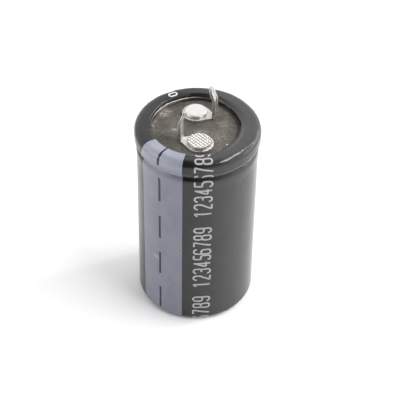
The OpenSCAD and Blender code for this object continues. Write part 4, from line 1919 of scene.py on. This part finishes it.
@dataclass
class InnerPieces:
    """The CAD pieces that stay inside the can and keep their own shapes."""

    nodes: dict[str, Piece]

    def dress(self) -> None:
        """Gives each inner piece its finish."""
        foil = PlainStock(
            "foil_strip", (0.86, 0.86, 0.86), (0.7, 0.71, 0.73),
            roughness=0.3, patch=0.8, stretch=(1, 1, 4), metallic=1.0,
        )
        washer = PlainStock(
            "plain_washer", (0.8, 0.8, 0.81), (0.66, 0.67, 0.68),
            roughness=0.34, patch=1.2, metallic=1.0,
        )
        board = PlainStock(
            "pressed_laminate", (0.2, 0.095, 0.045), (0.27, 0.15, 0.08),
            roughness=0.5, patch=1.5, stretch=(1, 6, 1),
        )
        paper = PlainStock(
            "soaked_paper", (0.5, 0.4, 0.26), (0.62, 0.53, 0.38),
            roughness=0.55, patch=1.4, stretch=(1, 1, 0.2),
        )
        tape = PlainStock(
            "polyester_tape", (0.62, 0.5, 0.22), (0.72, 0.61, 0.32), roughness=0.25, patch=3.0
        )
        stock = {
            foil: ("lead_tab_negative", "lead_tab_positive"),
            washer: ("inner_washer_negative", "inner_washer_positive"),
            board: ("terminal_board",),
            paper: ("wound_element",),
            tape: ("element_tape",),
        }
        for finish, names in stock.items():
            material = finish.make()
            for name in names:
                mesh = self.nodes[name].data
                mesh.materials.clear()
                mesh.materials.append(material)
                log.info("%s: dressed", name)


@dataclass(frozen=True)
class Softbox:
    """A soft light that faces the part.

    Attributes:
        name: Name of the light.
        azimuth: Its direction, seen from above.
        elevation: Its height above the horizon, as an angle.
        distance: Its distance from the part.
        size: Its width and height.
        watts: Its power.
        roll: Its turn about the line to the part, as an angle.
    """

    name: str
    azimuth: float
    elevation: float
    distance: float
    size: Point
    watts: float
    roll: float = 0.0

    def hang(self, target: Vector) -> None:
        """Hangs the light.

        Args:
            target: The point that it faces.
        """
        data = bpy.data.lights.new(self.name, "AREA")
        data.shape = "RECTANGLE"
        data.size, data.size_y = self.size[0] * MM, self.size[1] * MM
        data.energy = self.watts
        lamp = Bench.added(self.name, data)
        rise = math.radians(self.elevation)
        away = round_point(math.cos(rise), self.azimuth, math.sin(rise))
        lamp.location = (target + away * self.distance) * MM
        roll = Matrix.Rotation(math.radians(self.roll), 3, "Z")
        lamp.rotation_euler = (away.to_track_quat("Z", "Y").to_matrix() @ roll).to_euler()


@dataclass
class Studio:
    """Floor, light and camera."""

    target: Vector = field(default_factory=lambda: Vector((0.0, 0.0, 20.11)))
    distance: float = 276.6
    elevation: float = 42.068
    slide: Point = (0.724, 2.893)
    roll: float = 1.045
    lens: float = 115.34
    sensor: float = 36.0
    floor_size: float = 4000
    floor_flat: float = 1500.0
    near_side: Spot = (-0.14, -0.73, 0.67)
    boxes: tuple[Softbox, ...] = (
        Softbox("side_strip", 23.0, 34.0, 900.0, (35.0, 560.0), watts=0.8),
        Softbox("high_strip", -13.0, 53.0, 900.0, (820.0, 90.0), watts=5.8, roll=16.0),
        Softbox("right_box", 20.0, 13.0, 600.0, (560.0, 230.0), watts=0.9),
        Softbox("left_box", -160.0, 24.0, 600.0, (500.0, 130.0), watts=1.2),
    )

    def build(self) -> None:
        """Sets up the floor, the light and the camera."""
        self._floor()
        self._surroundings()
        for box in self.boxes:
            box.hang(self.target)
        self._camera()
        bpy.context.scene.view_settings.view_transform = "Standard"
        log.info("studio: ready")

    def _floor(self) -> None:
        """Lays a wide pale floor whose edge curls up a little, as paper does."""
        Bench.clear()
        bpy.ops.mesh.primitive_grid_add(x_subdivisions=24, y_subdivisions=24, size=self.floor_size)
        floor = Bench.named("studio_paper")
        Bench.bend_over(floor, self._curled)
        Bench.to_metres(floor)
        bpy.ops.object.shade_smooth()
        floor.data.materials.append(StudioFloor().make())

    def _curled(self, point: Vector) -> Vector:
        """Curls the floor's edge up."""
        past = max(0.0, point.xy.length - self.floor_flat)
        return Vector((point.x, point.y, past**2 * 2e-4))

    def _surroundings(self) -> None:
        """Surrounds the part with a white tent that is open, and darker, on the near side."""
        r = Recipe(bpy.data.worlds.new("white_tent"))
        place = r.node("ShaderNodeTexCoord", {}, {}, "Generated")
        facing = r.vector("DOT_PRODUCT", place, self.near_side, out="Value")
        strength = facing.ramp(0.25, 0.8, 1.42, 0.1)
        bpy.context.scene.world = r.done(Color=(1.0, 1.0, 1.0), Strength=strength)

    def _camera(self) -> None:
        """Puts the camera where the photograph was taken from."""
        rise, roll = math.radians(self.elevation), math.radians(self.roll)
        right = Vector((1, 0, 0))
        ahead = Vector((0, math.cos(rise), -math.sin(rise)))
        up = Vector((0, math.sin(rise), math.cos(rise)))
        spot = self.target - ahead * self.distance + right * self.slide[0] + up * self.slide[1]
        x = right * math.cos(roll) + up * math.sin(roll)
        y = up * math.cos(roll) - right * math.sin(roll)
        data = bpy.data.cameras.new("photo_camera")
        data.lens, data.sensor_width = self.lens, self.sensor
        data.clip_start, data.clip_end = 0.01, 20.0
        camera = Bench.added("photo_camera", data)
        turn = Matrix((x, y, -ahead)).transposed().to_4x4()
        camera.matrix_world = Matrix.Translation(spot * MM) @ turn
        bpy.context.scene.camera = camera


@dataclass
class Capacitor:
    """The whole part, piece by piece."""

    frame: dict
    face: SleeveFace = field(default_factory=SleeveFace)

    def build(self) -> None:
        """Builds and dresses every piece."""
        ShrinkSleeve(self.face).build(ShrunkFilm().make())
        PolarityStripe(self.face).build(StripeInk().make())
        front, back = self._columns()
        # Painted light: the back numerals use a brighter copy of the same ink, for the light on
        # the rim's top.
        front.build(NumeralInk("numeral_ink", (0.41, 0.41, 0.42)).make())
        back.build(NumeralInk("numeral_ink_back_lit", (0.66, 0.66, 0.67)).make())
        DrawnCan().build(DrawnAluminium().make())
        SealFace().build(DustyRubber().make())
        smooth = PlatedMetal(
            "smooth_aluminium", (0.66, 0.655, 0.635), (0.54, 0.53, 0.505), gloss=0.3
        )
        rolled = PlatedMetal(
            "knurled_aluminium", (0.74, 0.735, 0.71), (0.6, 0.59, 0.56),
            gloss=0.26, groove_shade_below=44.54,
        )
        tin = PlatedMetal(
            "tin_plate", (0.66, 0.635, 0.61), (0.49, 0.46, 0.435),
            gloss=0.3, metallic=0.72, tarnish=0.55,
        ).make()
        for pole, metal in ((Pole.POSITIVE, smooth), (Pole.NEGATIVE, rolled)):
            Rivet(pole).build(metal.make())
            SnapInTerminal(pole).build(tin)
        InnerPieces(self.frame["nodes"]).dress()

    def _columns(self) -> list[NumeralColumn]:
        """Lists the two columns of numerals."""
        return [
            NumeralColumn(
                self.face, "numerals_front",
                foot_azimuth=-75.6, tall=3.9, wide=1.62, pitch=2.03, stroke=0.38,
                groups=((-0.2, "6789"), (10.3, "12345"), (20.1, "6789"), (30.7, "12345"),
                        (41.2, "6789")),
            ),
            NumeralColumn(
                self.face, "numerals_back",
                foot_azimuth=124.0, tall=2.35, wide=1.3, pitch=1.75, stroke=0.34,
                groups=((8.0, "12345"), (18.5, "67890"), (29.0, "12345"), (39.5, "67890")),
            ),
        ]


def main() -> None:
    """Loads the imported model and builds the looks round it."""
    logging.basicConfig(level=logging.INFO, format="%(name)s: %(message)s")
    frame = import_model()
    Capacitor(frame).build()
    Studio().build()
    Bench.clear()


if __name__ == "__main__":
    main()
